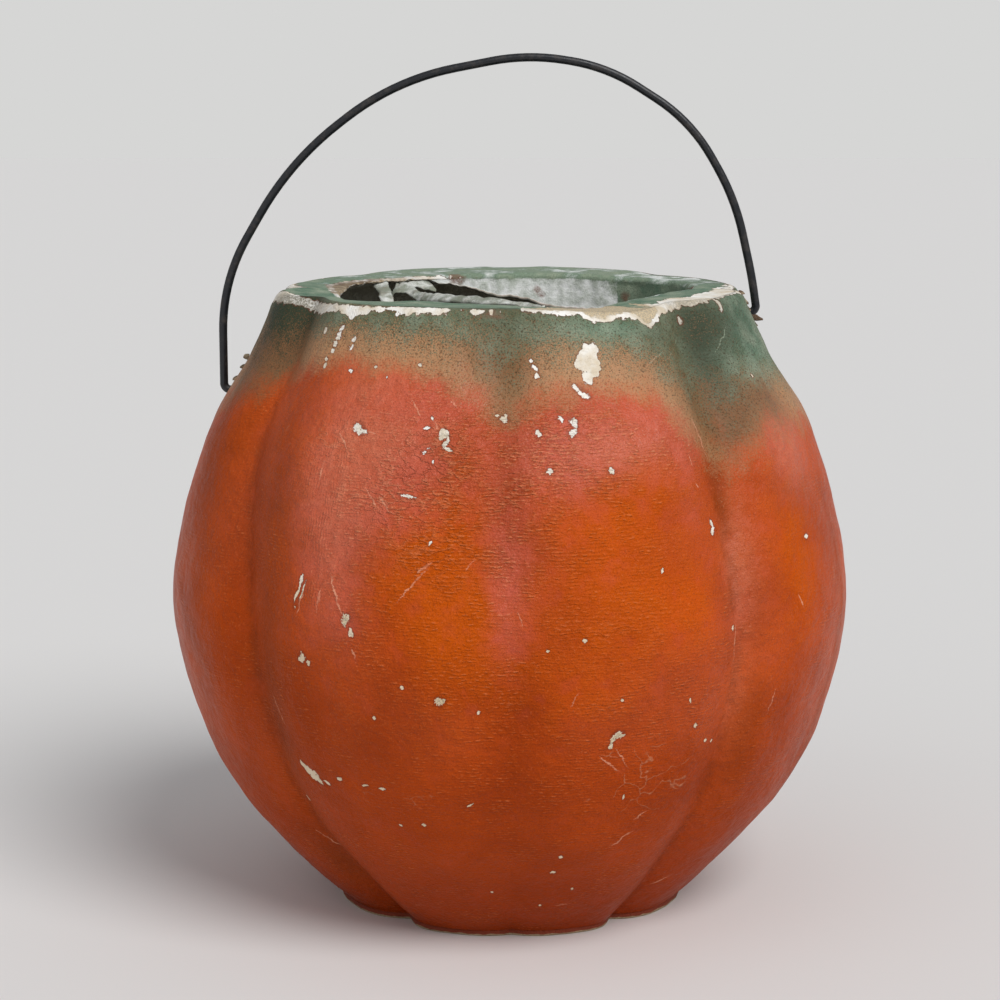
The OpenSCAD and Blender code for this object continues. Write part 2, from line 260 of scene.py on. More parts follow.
# The same on the sides and the back, as angle from the front and height in mm
SIDE_CHIPS = [
    (100, 96, 2, 3, 20), (112, 60, 1.4, 1.4, 0), (118, 105, 3, 1.6, -10), (126, 36, 1.2, 2.4, 30),
    (141, 82, 1, 2, -15), (152, 108, 2.4, 3, 5), (160, 52, 1.6, 1.2, 0), (171, 71, 1, 1.6, 10),
    (186, 98, 1.8, 1.4, 40), (198, 30, 2, 1.2, -20), (207, 64, 1.2, 2.6, 15), (216, 104, 2.8, 1.4, 10),
    (233, 88, 1.4, 1.6, 0), (241, 48, 1, 1.8, -30), (252, 74, 1.6, 1, 0), (97, 30, 1.2, 1.6, 0),
]
luck = np.random.default_rng(31)
for _ in range(22):
    around, height = luck.uniform(95, 265), luck.uniform(12, 112)
    for _ in range(luck.integers(1, 5)):
        long, tilt = 0.5 + luck.exponential(0.8), luck.uniform(-50, 50)
        away, above = luck.normal(0, 2.5, 2)
        SIDE_CHIPS.append((around + away, min(height + above, 114), max(0.5, 0.6 * long), long, tilt))
SIDE_SCRATCHES = []
for _ in range(34):
    tilt = luck.normal(0, 40)
    SIDE_SCRATCHES.append((luck.uniform(95, 265), luck.uniform(10, 112), 0.35, luck.uniform(2, 8), tilt))
# Soft patches in the paint, by what they show: pixel, width and height in mm, and strength
# Some of these patches paint light and shade: the rose ones are partly painted sheen, the pale ones are
# painted sheen and reflection, and the deep red, brown, dark green and dusky ones are painted shade.
PATCHES = {
    "golden": [
        (445, 590, 18, 34, 1), (385, 565, 12, 14, 0.5), (470, 650, 14, 16, 0.6), (600, 520, 22, 12, 0.5),
        (620, 600, 26, 20, 0.8), (650, 480, 16, 16, 0.5), (800, 560, 14, 26, 0.7), (570, 690, 30, 16, 0.4),
        (700, 600, 12, 18, 0.3),
    ],
    "rose_and_sheen": [
        (375, 465, 28, 26, 1.1), (330, 520, 10, 30, 0.8), (420, 400, 28, 10, 0.7), (560, 450, 18, 16, 0.9),
        (506, 560, 8, 34, 0.65), (508, 640, 7, 20, 0.3), (640, 430, 24, 14, 0.8), (735, 580, 8, 30, 0.3),
        (785, 440, 14, 16, 0.9), (345, 610, 9, 16, 0.5), (560, 330, 8, 4, 0.4), (690, 470, 10, 20, 0.4),
    ],
    "deep": [
        (300, 700, 16, 26, 0.5), (372, 700, 18, 30, 0.35), (520, 790, 44, 20, 0.4), (680, 780, 22, 18, 0.4),
        (235, 640, 14, 34, 0.6), (506, 500, 6, 20, 0.5), (520, 720, 12, 30, 0.5), (790, 680, 10, 20, 0.4),
    ],
    "furrow_shade": [
        (248, 425, 9, 22, 0.4), (278, 470, 11, 34, 0.35), (272, 600, 10, 44, 0.35), (285, 740, 7, 34, 0.6),
        (345, 860, 9, 16, 0.8), (215, 440, 12, 34, 0.5), (706, 440, 6, 24, 0.7), (718, 500, 4, 16, 0.5),
        (745, 730, 8, 26, 0.5), (514, 440, 6, 24, 0.3), (511, 385, 5, 14, 0.4), (195, 600, 14, 60, 0.3),
        (838, 640, 5, 60, 0.4),
    ],
    "teal": [
        (590, 330, 16, 7, 0.7), (630, 326, 14, 6, 0.5), (745, 330, 20, 26, 1.2), (425, 318, 18, 4, 0.3),
        (330, 325, 8, 6, 0.3), (720, 365, 8, 10, 0.5),
    ],
    "painted_shade": [
        (692, 330, 10, 26, 0.6), (706, 372, 7, 26, 0.3), (740, 320, 14, 12, 0.4), (716, 322, 10, 14, 0.6),
        (284, 318, 16, 18, 1), (300, 345, 8, 18, 0.6), (262, 345, 14, 26, 0.9), (320, 315, 12, 8, 0.5),
        (500, 322, 12, 8, 0.3), (655, 330, 8, 8, 0.4),
    ],
    "fade_shade": [
        (700, 390, 12, 34, 1), (735, 395, 20, 20, 0.8), (285, 345, 18, 34, 1), (255, 370, 14, 24, 1),
        (511, 365, 10, 30, 0.8), (480, 350, 12, 12, 0.5), (655, 350, 12, 14, 0.4), (770, 400, 10, 20, 0.5),
    ],
    "painted_sheen": [
        (345, 470, 16, 26, 0.7), (390, 440, 22, 8, 0.4), (620, 450, 22, 10, 0.5), (785, 440, 14, 18, 0.7),
        (735, 555, 7, 22, 0.7), (370, 375, 18, 10, 0.5), (330, 560, 6, 18, 0.3), (735, 700, 6, 22, 0.4),
    ],
    "upright": [
        (322, 480, 9, 40, 1), (300, 560, 10, 40, 0.8), (345, 430, 10, 14, 0.5), (790, 560, 14, 50, 0.6),
        (215, 560, 18, 60, 0.6),
    ],
    "weave": [
        (560, 520, 40, 34, 1), (430, 520, 32, 30, 0.9), (450, 680, 36, 24, 0.7), (335, 500, 14, 36, 0.5),
        (600, 450, 30, 16, 0.9), (500, 430, 26, 16, 0.8), (650, 650, 30, 30, 0.4), (790, 560, 16, 36, 0.4),
        (380, 400, 20, 10, 0.5), (520, 850, 40, 16, 0.3),
    ],
    "cracked": [
        (648, 780, 21, 19, 1), (330, 785, 14, 7, 0.6), (420, 800, 20, 10, 0.5), (360, 440, 20, 8, 0.3),
    ],
    "wrinkled": [
        (440, 450, 20, 14, 1), (400, 500, 24, 12, 0.8), (430, 560, 18, 12, 0.7), (570, 430, 18, 10, 0.8),
        (540, 500, 16, 14, 0.5), (330, 440, 12, 12, 0.5), (620, 640, 20, 14, 0.3), (360, 700, 16, 16, 0.3),
    ],
}
# Rust-coloured stains along the rim's worn corner, in the same way
RUSTY = [
    (451, 313.5, 3.5, 1.8, 0.6), (464, 314, 4, 1.6, 0.5), (484, 316.5, 4, 1.6, 0.5), (497, 316, 4, 2, 0.55),
    (668, 322, 3, 2, 0.5),
]
# Down which pixels the green fades: a column, where it's still full, and where it ends
GREEN_FADE = [
    (246, 312, 398), (262, 300, 394), (285, 306, 384), (300, 308, 374), (320, 310, 366), (340, 312, 364),
    (360, 314, 366), (400, 316, 371), (440, 316, 382), (462, 315, 396), (480, 316, 406), (498, 318, 420),
    (511, 320, 428), (526, 320, 414), (540, 320, 402), (570, 322, 398), (600, 328, 397), (620, 330, 395),
    (640, 330, 397), (660, 336, 406), (680, 350, 428), (700, 356, 452), (715, 358, 474), (735, 350, 466),
    (755, 350, 450), (768, 354, 434),
]
# The same on the other sides, as angle and mm down from the rim
GREEN_SIDES = [
    (92, 7, 27), (112, 2, 20), (135, 7, 36), (158, 2, 20), (180, 4, 28), (200, 2, 20), (225, 7, 36),
    (248, 2, 20), (268, 6, 28),
]
# The paint is worn off the rim's corner between two pixels of each column: one on top of the rim,
# where the worn band begins, and one where it ends on the wall
RIM_WEAR = [
    (276, 287, 301), (281, 289.5, 303), (286, 291.5, 304), (292, 293, 304.5), (298, 295, 306),
    (304, 297, 308), (311, 299, 311), (319, 301.3, 314.5), (326, 302.8, 312), (334, 303.6, 311.6),
    (343, 304.5, 314.5), (348, 305, 317.5), (351, 305.2, 321), (355, 305.4, 316), (361, 305.8, 314.6),
    (370, 306.1, 312.5), (382, 306.5, 311.5), (392, 306.8, 311.8), (402, 307.1, 314.2),
    (407, 307.2, 315.8), (414, 307.2, 313), (425, 307.4, 314), (440, 308, 314.2), (448, 308.6, 313),
    (453, 309.3, 310.5), (456, 311, 308), (459, 311, 308), (462, 310, 312), (467, 310.5, 310),
    (471, 310, 314), (475, 309.6, 317), (481, 309.4, 316), (485, 310, 312), (487, 312, 308),
    (489, 309.8, 313.5), (494, 309.8, 314), (497, 312, 308), (499, 310.2, 314), (502, 310.2, 314.5),
    (504, 312, 307), (518, 312, 307), (521, 308, 311), (527, 306.7, 312.3), (535, 306, 312.6),
    (545, 305.8, 313), (555, 305.8, 314.5), (564, 305.9, 315), (573, 305.6, 314.5), (582, 305.3, 316),
    (586, 305.1, 319), (590, 305, 322.5), (593, 304.9, 324), (598, 304.7, 322), (603, 304.5, 323),
    (608, 304.3, 322.5), (614, 303.8, 320), (620, 303.2, 318.5), (627, 302.4, 317.5), (633, 303.4, 319),
    (638, 306, 320), (644, 307, 324), (648, 306.3, 327), (651, 306, 330), (654, 306, 325.5),
    (658, 303, 321), (662, 300, 315.8), (668, 298.8, 312.5), (673, 298, 310.4), (680, 297.4, 307),
    (689, 296.2, 306.9), (700, 293, 303.6), (711, 290.6, 299.6), (719, 287, 298), (727, 285.2, 295.5),
    (734, 285, 293.5),
]
# On the sides and the back, as angle and mm along the skin, from the corner's foot: down, and in
RIM_WEAR_SIDES = [
    (88, 0.4, -4.4), (96, -0.8, -3.4), (104, -1.5, -2.2), (118, -1.9, -1.4), (150, -1.9, -1.4),
    (176, -1.9, -1.5), (186, -1.2, -2.2), (196, -1.9, -1.4), (228, -1.9, -1.4), (240, -1.4, -2),
    (252, -1.8, -1.6), (262, -0.9, -3), (268, -0.5, -4),
]
# Width of the torn paper round the mouth, by angle
TORN_IN = [
    (-180, -1), (-160, -0.2), (-152, 0.7), (-142, 1.2), (-132, 1.5), (-124, 1.9), (-116, 3.1),
    (-106, 4.4), (-99, 4), (-92, 2.2), (-84, 1.2), (-74, 0.6), (-64, 0.4), (-56, -0.3), (-32, -0.4),
    (-24, 0.4), (-17, 0.4), (-12, -0.4), (5, -0.3), (50, -0.6), (62, 0.2), (66, 0.7), (78, 0.6),
    (84, -0.2), (100, 0), (115, -0.6), (150, -1),
]
# Rust-coloured stains on the lip, as angle, depth below the mouth in mm, and size in mm
LIP_STAINS = [
    (-128, 0.5, 2.2), (-134, 0.2, 1.8), (-118, 0.6, 1.4), (-159, 0.7, 2.3), (170, 3.4, 1.1),
    (168.5, 4.6, 0.9), (138, 4.4, 1.2), (101, 0.9, 1.6), (-140, 0.4, 2), (-146, 0.2, 1.6),
]
# How green the lip is, by angle
LIP_GREEN = [
    (-180, 0.62), (-150, 0.7), (-120, 1), (60, 1.1), (132, 1.2), (141, 1), (148, 0.62),
]
# The same for the rim's top
TOP_GREEN = [
    (-180, 0.85), (-140, 0.85), (-110, 1.1), (-60, 1.6), (80, 1.6), (105, 0.95), (125, 0.75),
    (150, 0.75),
]
# Between these angles the pulp's top sheet has come off the worn corner, all but a narrow edge
PEELED = (6, 37)
SHEET_EDGE = 0.9
# Height, size and seed of the swells of hand-pressed pulp, the dip at the joint, and how far below
# the surface of the paint the gesso and the pulp lie
SWELLS = [(0.45, 27, 1), (0.28, 9, 2), (0.1, 3.2, 3)]
JOINT_DIP = 0.3
JOINT_W = 0.9
GESSO_DEEP = 0.16
PULP_DEEP = 0.14
# The bail's holes, with the torn and soiled paper round them, and how deep they are punched
BAIL_HOLES = [(-54.25, 5, 98.5), (45.94, 5, 113.5)]
BAIL_AXIS = np.array([0.98898, 0, 0.14806])
HOLE_R = 1.25
TORN_R = 2
SOILED_R = 3.2
PIT = 2.4
# Rows of the net round each half, its mesh in mm, and its finer lines at the holes
RIM_ROWS = 7
FLANGE_ROWS = 16
LIP_ROWS = 8
UNDER_ROWS = 7
INNER_ROWS = 44
STEP_FRONT = 0.7
STEP_BACK = 0.85
HOLE_NET = np.array([-1.9, -1.5, -1.2, -0.9, -0.6, -0.3, 0.05, 0.35, 0.65, 0.95, 1.25, 1.55, 1.95])
CORNER = math.pi / 2 * RIM_ROUND
# How far down the wall the rim's rises and sags reach
NEAR_RIM = 12
# Far outside a bare place, in mm
AWAY = -3
# How sharply a soft patch ends, and how much of it there can be at most
PATCH_EDGE = 4
PATCH_MOST = 1.2
# Marks finer than this are drawn in the paint, in so many layers and with so much room round them
THIN = 1.9
MARK_LAYERS = 3
MARK_MARGIN = 1


def laid_out(angle, up, at, place, tilt=0):
    """Mm across and up from a place on the wall, turned by a tilt in degrees."""
    x = np.radians(np.mod(angle - at + 180, 360) - 180) * np.interp(place, crest_up, crest_r)
    y = up - place
    c, s = math.cos(math.radians(tilt)), math.sin(math.radians(tilt))
    return x * c - y * s, x * s + y * c


def spot_field(spots, angle, up):
    """Height of oval spots above the paint's edge, in mm: above 0 inside a spot."""
    field = np.full(angle.shape, float(AWAY))
    for at, place, width, height, tilt in spots:
        x, y = laid_out(angle, up, at, place, tilt)
        field = np.maximum(field, (1 - np.hypot(2 * x / width, 2 * y / height)) * min(width, height) / 2)
    return field


def thin_marks(marks, angle, up):
    """Layers that say how far each place is from the middle of a thin mark near it, as shares of the
    mark's half width and half length, so that the paint can draw the mark finer than the mesh. Gives
    the layers, and the marks for which no layer had room."""
    layers = [np.zeros((*angle.shape, 3)) for _ in range(MARK_LAYERS)]
    taken = [np.zeros(angle.shape, bool) for _ in range(MARK_LAYERS)]
    rest = []
    for at, place, width, length, tilt in marks:
        if width > length:
            width, length, tilt = length, width, tilt + 90
        x, y = laid_out(angle, up, at, place, tilt)
        away = np.hypot(np.maximum(np.abs(x) - width / 2, 0), np.maximum(np.abs(y) - length / 2, 0))
        known = away < 2.2 * MARK_MARGIN
        for layer, used in zip(layers, taken):
            if not (used & known).any():
                used |= known
                shape = np.stack([2 * x / width, 2 * y / length, away < MARK_MARGIN], axis=-1)
                layer[known] = shape[known]
                break
        else:
            rest.append((at, place, width, length, tilt))
    return layers, rest


def soft_patches(patches, angle, up):
    """Sum of soft round patches, each given by a pixel, a width, a height and a strength."""
    total = np.zeros(angle.shape)
    for u, v, width, height, strength in patches:
        x, y = laid_out(angle, up, *wall_place(u, v))
        total += strength * np.exp(-PATCH_EDGE * ((x / width) ** 2 + (y / height) ** 2))
    return np.clip(total, 0, PATCH_MOST)


def near_rim(z):
    """Share of the rim's rise that the wall takes part in, at heights close under the rim."""
    return np.clip((z - RIM_Z + NEAR_RIM) / NEAR_RIM, 0, 1) ** 2


def skin_net():
    """Angles, mm along the skin from the rim's foot (downwards is plus), and pixels of a fine net."""
    angle, along = np.meshgrid(np.arange(-95, 95, 0.25), np.arange(-16, 45, 0.12), indexing="ij")
    turn = np.clip(-along / CORNER, 0, 1)
    inward = np.clip(-along - CORNER, 0, None)
    z = np.interp(WALL_UP - np.clip(along, 0, None), crest_up, crest_z)
    r = np.interp(z, crest_z, crest_r)
    rim = crest_r[-1] - furrow(angle, RIM_Z + 0 * angle)
    r = np.where(along >= 0, r - furrow(angle, z), rim - RIM_ROUND * turn**2 - inward)
    z = np.where(along >= 0, z, RIM_Z - RIM_ROUND * (1 - turn) ** 2)
    z = z + by_angle(RIM_RISE, angle) * near_rim(z)
    z = z - by_angle(SAG, angle) * np.clip(inward / (rim - RIM_ROUND - MOUTH_R), 0, 1)
    way = np.radians(angle)
    seen = pixels(np.stack([r * np.sin(way), -r * np.cos(way), z], axis=-1).reshape(-1, 3))
    return angle.ravel(), along.ravel(), seen


net_angle, net_along, net_seen = skin_net()


def skin_place(u, v):
    """Angle and mm along the skin from the rim's foot of what a pixel shows."""
    best = np.argmin(np.hypot(net_seen[:, 0] - u, net_seen[:, 1] - v))
    return net_angle[best], net_along[best]


worn_high = [skin_place(u, high) for u, high, _ in RIM_WEAR] + [(at, high) for at, _, high in RIM_WEAR_SIDES]
worn_low = [skin_place(u, low) for u, _, low in RIM_WEAR] + [(at, low) for at, low, _ in RIM_WEAR_SIDES]
green_full = [skin_place(u, v) for u, v, _ in GREEN_FADE] + [(at, full) for at, full, _ in GREEN_SIDES]
green_gone = [skin_place(u, v) for u, _, v in GREEN_FADE] + [(at, gone) for at, _, gone in GREEN_SIDES]


def uv_of_section(mesh, columns, rows):
    """Lays the skin out as one sheet, and the two flat ends in a strip above it."""
    layer = mesh.uv_layers.new(name="OFBake")
    count = len(mesh.loops)
    corners = np.zeros(count, int)
    mesh.loops.foreach_get("vertex_index", corners)
    column, row = np.divmod(corners, rows)
    row = row.astype(float)
    quads = (columns - 1) * rows * 4
    faces = row[:quads].reshape(-1, 4)
    wraps = faces.max(axis=1) - faces.min(axis=1) > 1
    faces[wraps] = np.where(faces[wraps] == 0, rows, faces[wraps])
    places = np.stack([0.002 + 0.996 * column / (columns - 1), 0.002 + 0.95 * row / rows], axis=1)
    spots = np.zeros(len(mesh.vertices) * 3)
    mesh.vertices.foreach_get("co", spots)
    ends = spots.reshape(-1, 3)[corners[quads:]] / MM
    half = (column[quads:] > 0) * 0.5
    places[quads:, 0] = 0.004 + half + 0.48 * ends[:, 2] / RIM_Z
    places[quads:, 1] = 0.962 + 0.034 * np.hypot(ends[:, 0], ends[:, 1]) / BODY_R
    layer.data.foreach_set("uv", places.ravel())


def marks_on_half(seen, sides, start):
    """Marks as places on the wall: those chosen on the picture, and those given by angle and height.
    Only those on the half that begins at an angle, or less than 3 degrees past its ends, are kept."""
    marks = [(*wall_place(u, v), *shape) for u, v, *shape in seen]
    marks += [(at, np.interp(height, crest_z, crest_up), *shape) for at, height, *shape in sides]
    return [mark for mark in marks if abs((mark[0] - start - 90 + 180) % 360 - 180) < 93]


def half_shell(name, start, step):
    """Half of the pail from an angle on, as one closed skin with what the paint needs to know."""
    columns = int(math.pi * BODY_R / step) + 1
    angle = np.linspace(start, start + 180, columns)
    wall_up = np.linspace(0, WALL_UP, int(WALL_UP / step))
    wall_up = np.insert(wall_up, 1, 0.12)
    if start > 0:
        for hole in BAIL_HOLES:
            at = np.degrees(np.arctan2(hole[0], -hole[1])) % 360
            place = np.interp(hole[2], crest_z, crest_up)
            angle = np.sort(np.append(angle, at + np.degrees(HOLE_NET / BODY_R)))
            wall_up = np.sort(np.append(wall_up, place + HOLE_NET))
        columns = len(angle)
    wall_z = np.interp(wall_up, crest_up, crest_z)
    wall_r = np.interp(wall_up, crest_up, crest_r)
    rim_rise = by_angle(RIM_RISE, angle)
    wall = np.stack(np.broadcast_arrays(wall_r - furrow(angle[:, None], wall_z[None]), wall_z), axis=2)
    wall[:, :, 1] += rim_rise[:, None] * near_rim(wall_z)

    def ring(radius, height):
        """Radius and height of each column's point on one ring."""
        return np.stack(np.broadcast_arrays(radius, height + 0 * angle), axis=1)

    top_z = RIM_Z + rim_rise
    rim_r = crest_r[-1] - furrow(angle, top_z)
    turn = np.radians(angle)
    round_mouth = MOUTH_R * np.stack([np.sin(turn), np.cos(turn), 0 * turn], axis=1)
    mouth_r = MOUTH_R + by_angle(MOUTH_STRAY, angle)
    mouth_r = mouth_r + 0.5 * lumps(round_mouth, 4.5, 7) + 0.3 * lumps(round_mouth, 1.6, 8)
    lip_z = RIM_Z + rim_rise - by_angle(SAG, angle)
    lip_round = by_angle(LIP_ROUND, angle)
    end_z = lip_z - lip_round - by_angle(LIP_DEEP, angle)
    end_z = end_z + 0.6 * lumps(round_mouth, 3, 5) + 0.3 * lumps(round_mouth, 1, 6)
    slope = np.gradient(crest_r, crest_z)
    lean = 1 / np.sqrt(1 + slope**2)
    inner_z = crest_z + slope * lean * WALL_T
    inner_r = crest_r - lean * WALL_T
    below_rim = RIM_Z - RIM_T - RIM_ROUND
    in_z = np.linspace(below_rim, CARD_T + 3, INNER_ROWS)
    in_r = np.interp(in_z, inner_z, inner_r) - furrow(angle[:, None], in_z[None])
    inner = np.stack(np.broadcast_arrays(in_r, in_z), axis=2)
    inner[:, :, 1] += rim_rise[:, None] * near_rim(in_z)
    rim_in_r = np.interp(RIM_Z - RIM_T, inner_z, inner_r) - furrow(angle, top_z)
    rim_foot = wall[:, -1]
    rim_end = ring(rim_r - RIM_ROUND, top_z)
    mouth_edge = ring(mouth_r + lip_round, lip_z)
    lip_top = ring(mouth_r, lip_z - lip_round)
    lip_end = ring(mouth_r, end_z)
    lip_end_in = ring(mouth_r + LIP_T, end_z)
    under = lip_z - RIM_T
    lip_back = ring(mouth_r + LIP_T, np.minimum(under - lip_round, end_z + 0.4))
    lip_back[:, 1] = np.maximum(lip_back[:, 1], end_z)
    under_mouth = ring(mouth_r + LIP_T + lip_round, np.maximum(under, end_z))
    under_rim = ring(rim_in_r - RIM_ROUND, top_z - RIM_T)
    foot_r = crest_r[0] - furrow(angle, CARD_T + 0 * angle)
    foot_in = ring(foot_r - FOOT_W, CARD_T)
    runs = [
        ("wall", wall[:, :-1]),
        ("rim", bend(rim_foot, ring(rim_r, top_z), rim_end, RIM_ROWS)),
        ("flange", line(rim_end, mouth_edge, FLANGE_ROWS)),
        ("bend", bend(mouth_edge, ring(mouth_r, lip_z), lip_top, 5)),
        ("lip", line(lip_top, lip_end, LIP_ROWS)),
        ("back", line(lip_end, lip_end_in, 3)),
        ("back", line(lip_end_in, lip_back, 3)),
        ("back", bend(lip_back, ring(mouth_r + LIP_T, under), under_mouth, 3)),
        ("back", line(under_mouth, under_rim, UNDER_ROWS)),
        ("back", bend(under_rim, ring(rim_in_r, top_z - RIM_T), inner[:, 0], 4)),
        ("inside", inner),
        ("foot", line(foot_in, ring(foot_r, CARD_T), 5)),
    ]
    section = np.concatenate([run for _, run in runs], axis=1)
    part = np.concatenate([[kind] * run.shape[1] for kind, run in runs])
    rows = len(part)
    r, z = section[:, :, 0], section[:, :, 1]
    wide = np.broadcast_to(angle[:, None], r.shape)
    sine, cosine = np.sin(np.radians(wide)), np.cos(np.radians(wide))
    points = np.stack([r * sine, -r * cosine, z], axis=2)

    # The skin's swells, and what each place is, for the paint
    swell = sum(high * lumps(points, size, seed) for high, size, seed in SWELLS)
    joint = np.clip(1 - np.abs(cosine) * BODY_R / JOINT_W, 0, 1)
    swell = swell - JOINT_DIP * joint**2
    outside = np.isin(part, ["wall", "rim"])
    on_top = np.isin(part, ["flange", "bend"])
    on_lip = part == "lip"
    hidden = np.isin(part, ["back", "inside", "foot"])
    up = np.concatenate([wall_up[:-1], np.full(rows - len(wall_up) + 1, WALL_UP)])
    up = np.broadcast_to(up, r.shape)
    turn = np.zeros(rows)
    turn[part == "rim"] = np.arange(RIM_ROWS) / RIM_ROWS
    along = WALL_UP - up - turn * CORNER
    along = np.where(on_top | on_lip, -CORNER - np.maximum(rim_r[:, None] - RIM_ROUND - r, 0), along)
    from_mouth = r - mouth_r[:, None]
    drop = np.where(on_lip | (part == "bend"), np.maximum(lip_z[:, None] - z, 0), 0)

    # How far each place lies inside what is bare of paint, and bare of gesso too, in mm
    whites = marks_on_half(CHIPS + PULP_CHIPS, SIDE_CHIPS, start)
    chip_marks, rest = thin_marks([chip for chip in whites if min(chip[2:4]) < THIN], wide, up)
    rest += [chip for chip in whites if min(chip[2:4]) >= THIN]
    scratch_marks, _ = thin_marks(marks_on_half(SCRATCHES, SIDE_SCRATCHES, start), wide, up)
    chip = np.where(outside, spot_field(rest, wide, up), AWAY)
    core = np.where(outside, spot_field(marks_on_half(PULP_CHIPS, [], start), wide, up), AWAY)
    worn = np.minimum(by_angle(worn_low, wide) - along, along - by_angle(worn_high, wide))
    worn = np.where(outside | on_top, worn, AWAY)
    torn = by_angle(TORN_IN, wide)
    torn = np.where(on_top, torn - from_mouth, np.where(on_lip, torn - 1 - drop, AWAY))
    bare = np.clip(np.maximum(np.maximum(chip, worn), torn), AWAY, -AWAY)
    middle = sum(PEELED) / 2
    peeled = SHEET_EDGE + 24 * np.clip(np.abs(wide - middle) / (PEELED[1] - middle) - 1, 0, 1)
    peeled = np.where(along < 1.5, by_angle(worn_low, wide) - along - peeled, AWAY)
    pulp = np.clip(np.maximum(np.maximum(core, peeled), torn - 1.1), AWAY, -AWAY)

    # How thick the green is, from 0 where it ends
    full = by_angle(green_full, wide)
    gone = by_angle(green_gone, wide)
    spray = np.where(outside, np.clip((gone - along) / (gone - full), -1, 1), 1)
    lip_green = by_angle(LIP_GREEN, wide)
    spray = np.where(on_lip, lip_green - 0.5 * np.clip(drop / 3.5, 0, 1) * (lip_green < 1), spray)
    spray = np.where(part == "bend", 0.9, spray)
    spray = np.where(part == "flange", by_angle(TOP_GREEN, wide), spray)
    near = np.clip(furrow(wide, z) / FURROW_DEPTH, 0, 1.2)
    around = np.radians(np.mod(wide + 180, 360) - 180)

    inwards = drop - np.maximum(from_mouth, 0)
    stains = [
        1 - np.hypot((around - math.radians(at)) * MOUTH_R, inwards - deep) / size
        for at, deep, size in LIP_STAINS
    ]

    # What the paint knows of each place: how far inside a bare spot it lies, how thick the green is,
    # and, mostly from 0 to 1, how far it is on the rim's top or the lip, raw, near the foot, in a
    # furrow's crease, at the joint, or stained
    fields = {
        "bare": bare,
        "pulp": pulp,
        "spray": spray,
        "primed": np.where(on_lip | on_top, 1.0, 0.0),
        "raw": np.where(hidden, 1.0, 0.0) * np.ones(r.shape),
        "foot": np.where(outside, np.clip(1 - up / 60, 0, 1), 0),
        "crease": outside * np.clip((near - 0.93) / 0.1, 0, 1) * np.clip((WALL_UP - up - 18) / 20, 0, 1),
        "seam": joint,
        "stain": np.where(on_lip | on_top, np.max(stains, axis=0), AWAY),
    }
    for field, patches in PATCHES.items():
        fields[field] = np.where(outside, soft_patches(patches, wide, up), 0)
    fields["stain"] = np.where(outside, 1.6 * soft_patches(RUSTY, wide, up) - 0.6, fields["stain"])
    # The sides and the back, which no picture shows, have patches of their own
    behind = np.clip((np.abs(np.degrees(around)) - 78) / 20, 0, 1)
    cloud = lumps(points, 22, 8)
    # On the sides and the back, the brown, dark green and dusky patches are painted shade that grows with the
    # furrows' depth, and the pale ones are painted sheen.
    for field, more in (
        ("golden", np.clip(cloud * 1.8, 0, 0.9)),
        ("rose_and_sheen", np.clip(-cloud * 1.8 - 0.1, 0, 0.8)),
        ("furrow_shade", np.clip(near - 0.35, 0, 0.7)),
        ("fade_shade", np.clip(near - 0.1, 0, 0.8)),
        ("painted_shade", np.clip(near - 0.3, 0, 0.8)),
        ("teal", np.clip(0.5 + cloud, 0, 0.8)),
        ("painted_sheen", 0.6 * np.clip(lumps(points, 19, 15) * 2, 0, 1)),
    ):
        fields[field] = fields[field] + behind * outside * more
    for field, least in (
        ("weave", (0.6 + 0.25 * behind) * np.clip(0.6 + lumps(points, 15, 9) * 1.5, 0, 1)),
        ("upright", behind * np.clip(lumps(points, 14, 14) * 3, 0, 1)),
        ("wrinkled", 0.5 * behind * np.clip(lumps(points, 12, 10) * 2, 0, 1)),
    ):
        fields[field] = np.maximum(fields[field], outside * least)

    # The holes are pressed in from outside as deep pits, and the paper round them is torn
    off_axis = np.linalg.norm(np.cross(points - np.array(BAIL_HOLES[0]), BAIL_AXIS), axis=2)
    off_axis = off_axis + 0.25 * lumps(points, 0.9, 12)
    pit = PIT * outside * np.clip((HOLE_R + 0.15 - off_axis) / 0.3, 0, 1)
    rough = np.clip(TORN_R + 1.2 * lumps(points, 2.2, 13) - off_axis, AWAY, -AWAY)
    rough = np.where(outside, rough, AWAY)
    fields["bare"] = np.maximum(fields["bare"], rough)
    fields["pulp"] = np.maximum(fields["pulp"], rough - 0.3)
    ripped = np.clip(by_angle(TORN_IN, wide) - 0.8, 0, 1)
    soiled = outside * np.clip((SOILED_R - off_axis) / 1.5, 0, 1)
    fields["hole"] = np.where(on_top | on_lip, ripped, soiled)
    points -= (np.sign(points[:, :, 0]) * pit)[:, :, None] * BAIL_AXIS

    # The swells and the bare places, as steps in the skin
    sink = GESSO_DEEP * np.clip(bare / 0.5 + 0.5, 0, 1) + PULP_DEEP * np.clip(pulp / 0.6 + 0.5, 0, 1)
    outward = np.where(hidden, 0.5 * swell, 0)
    outward = np.where(outside, swell - sink, np.where(on_lip, -0.6 * swell, outward))
    points[:, :, 0] += outward * sine
    points[:, :, 1] -= outward * cosine
    points[:, :, 2] += np.where(on_top, 0.7 * swell - sink, 0)
    points[:, :, 1] += -SEAM_GAP / 2 if start < 0 else SEAM_GAP / 2

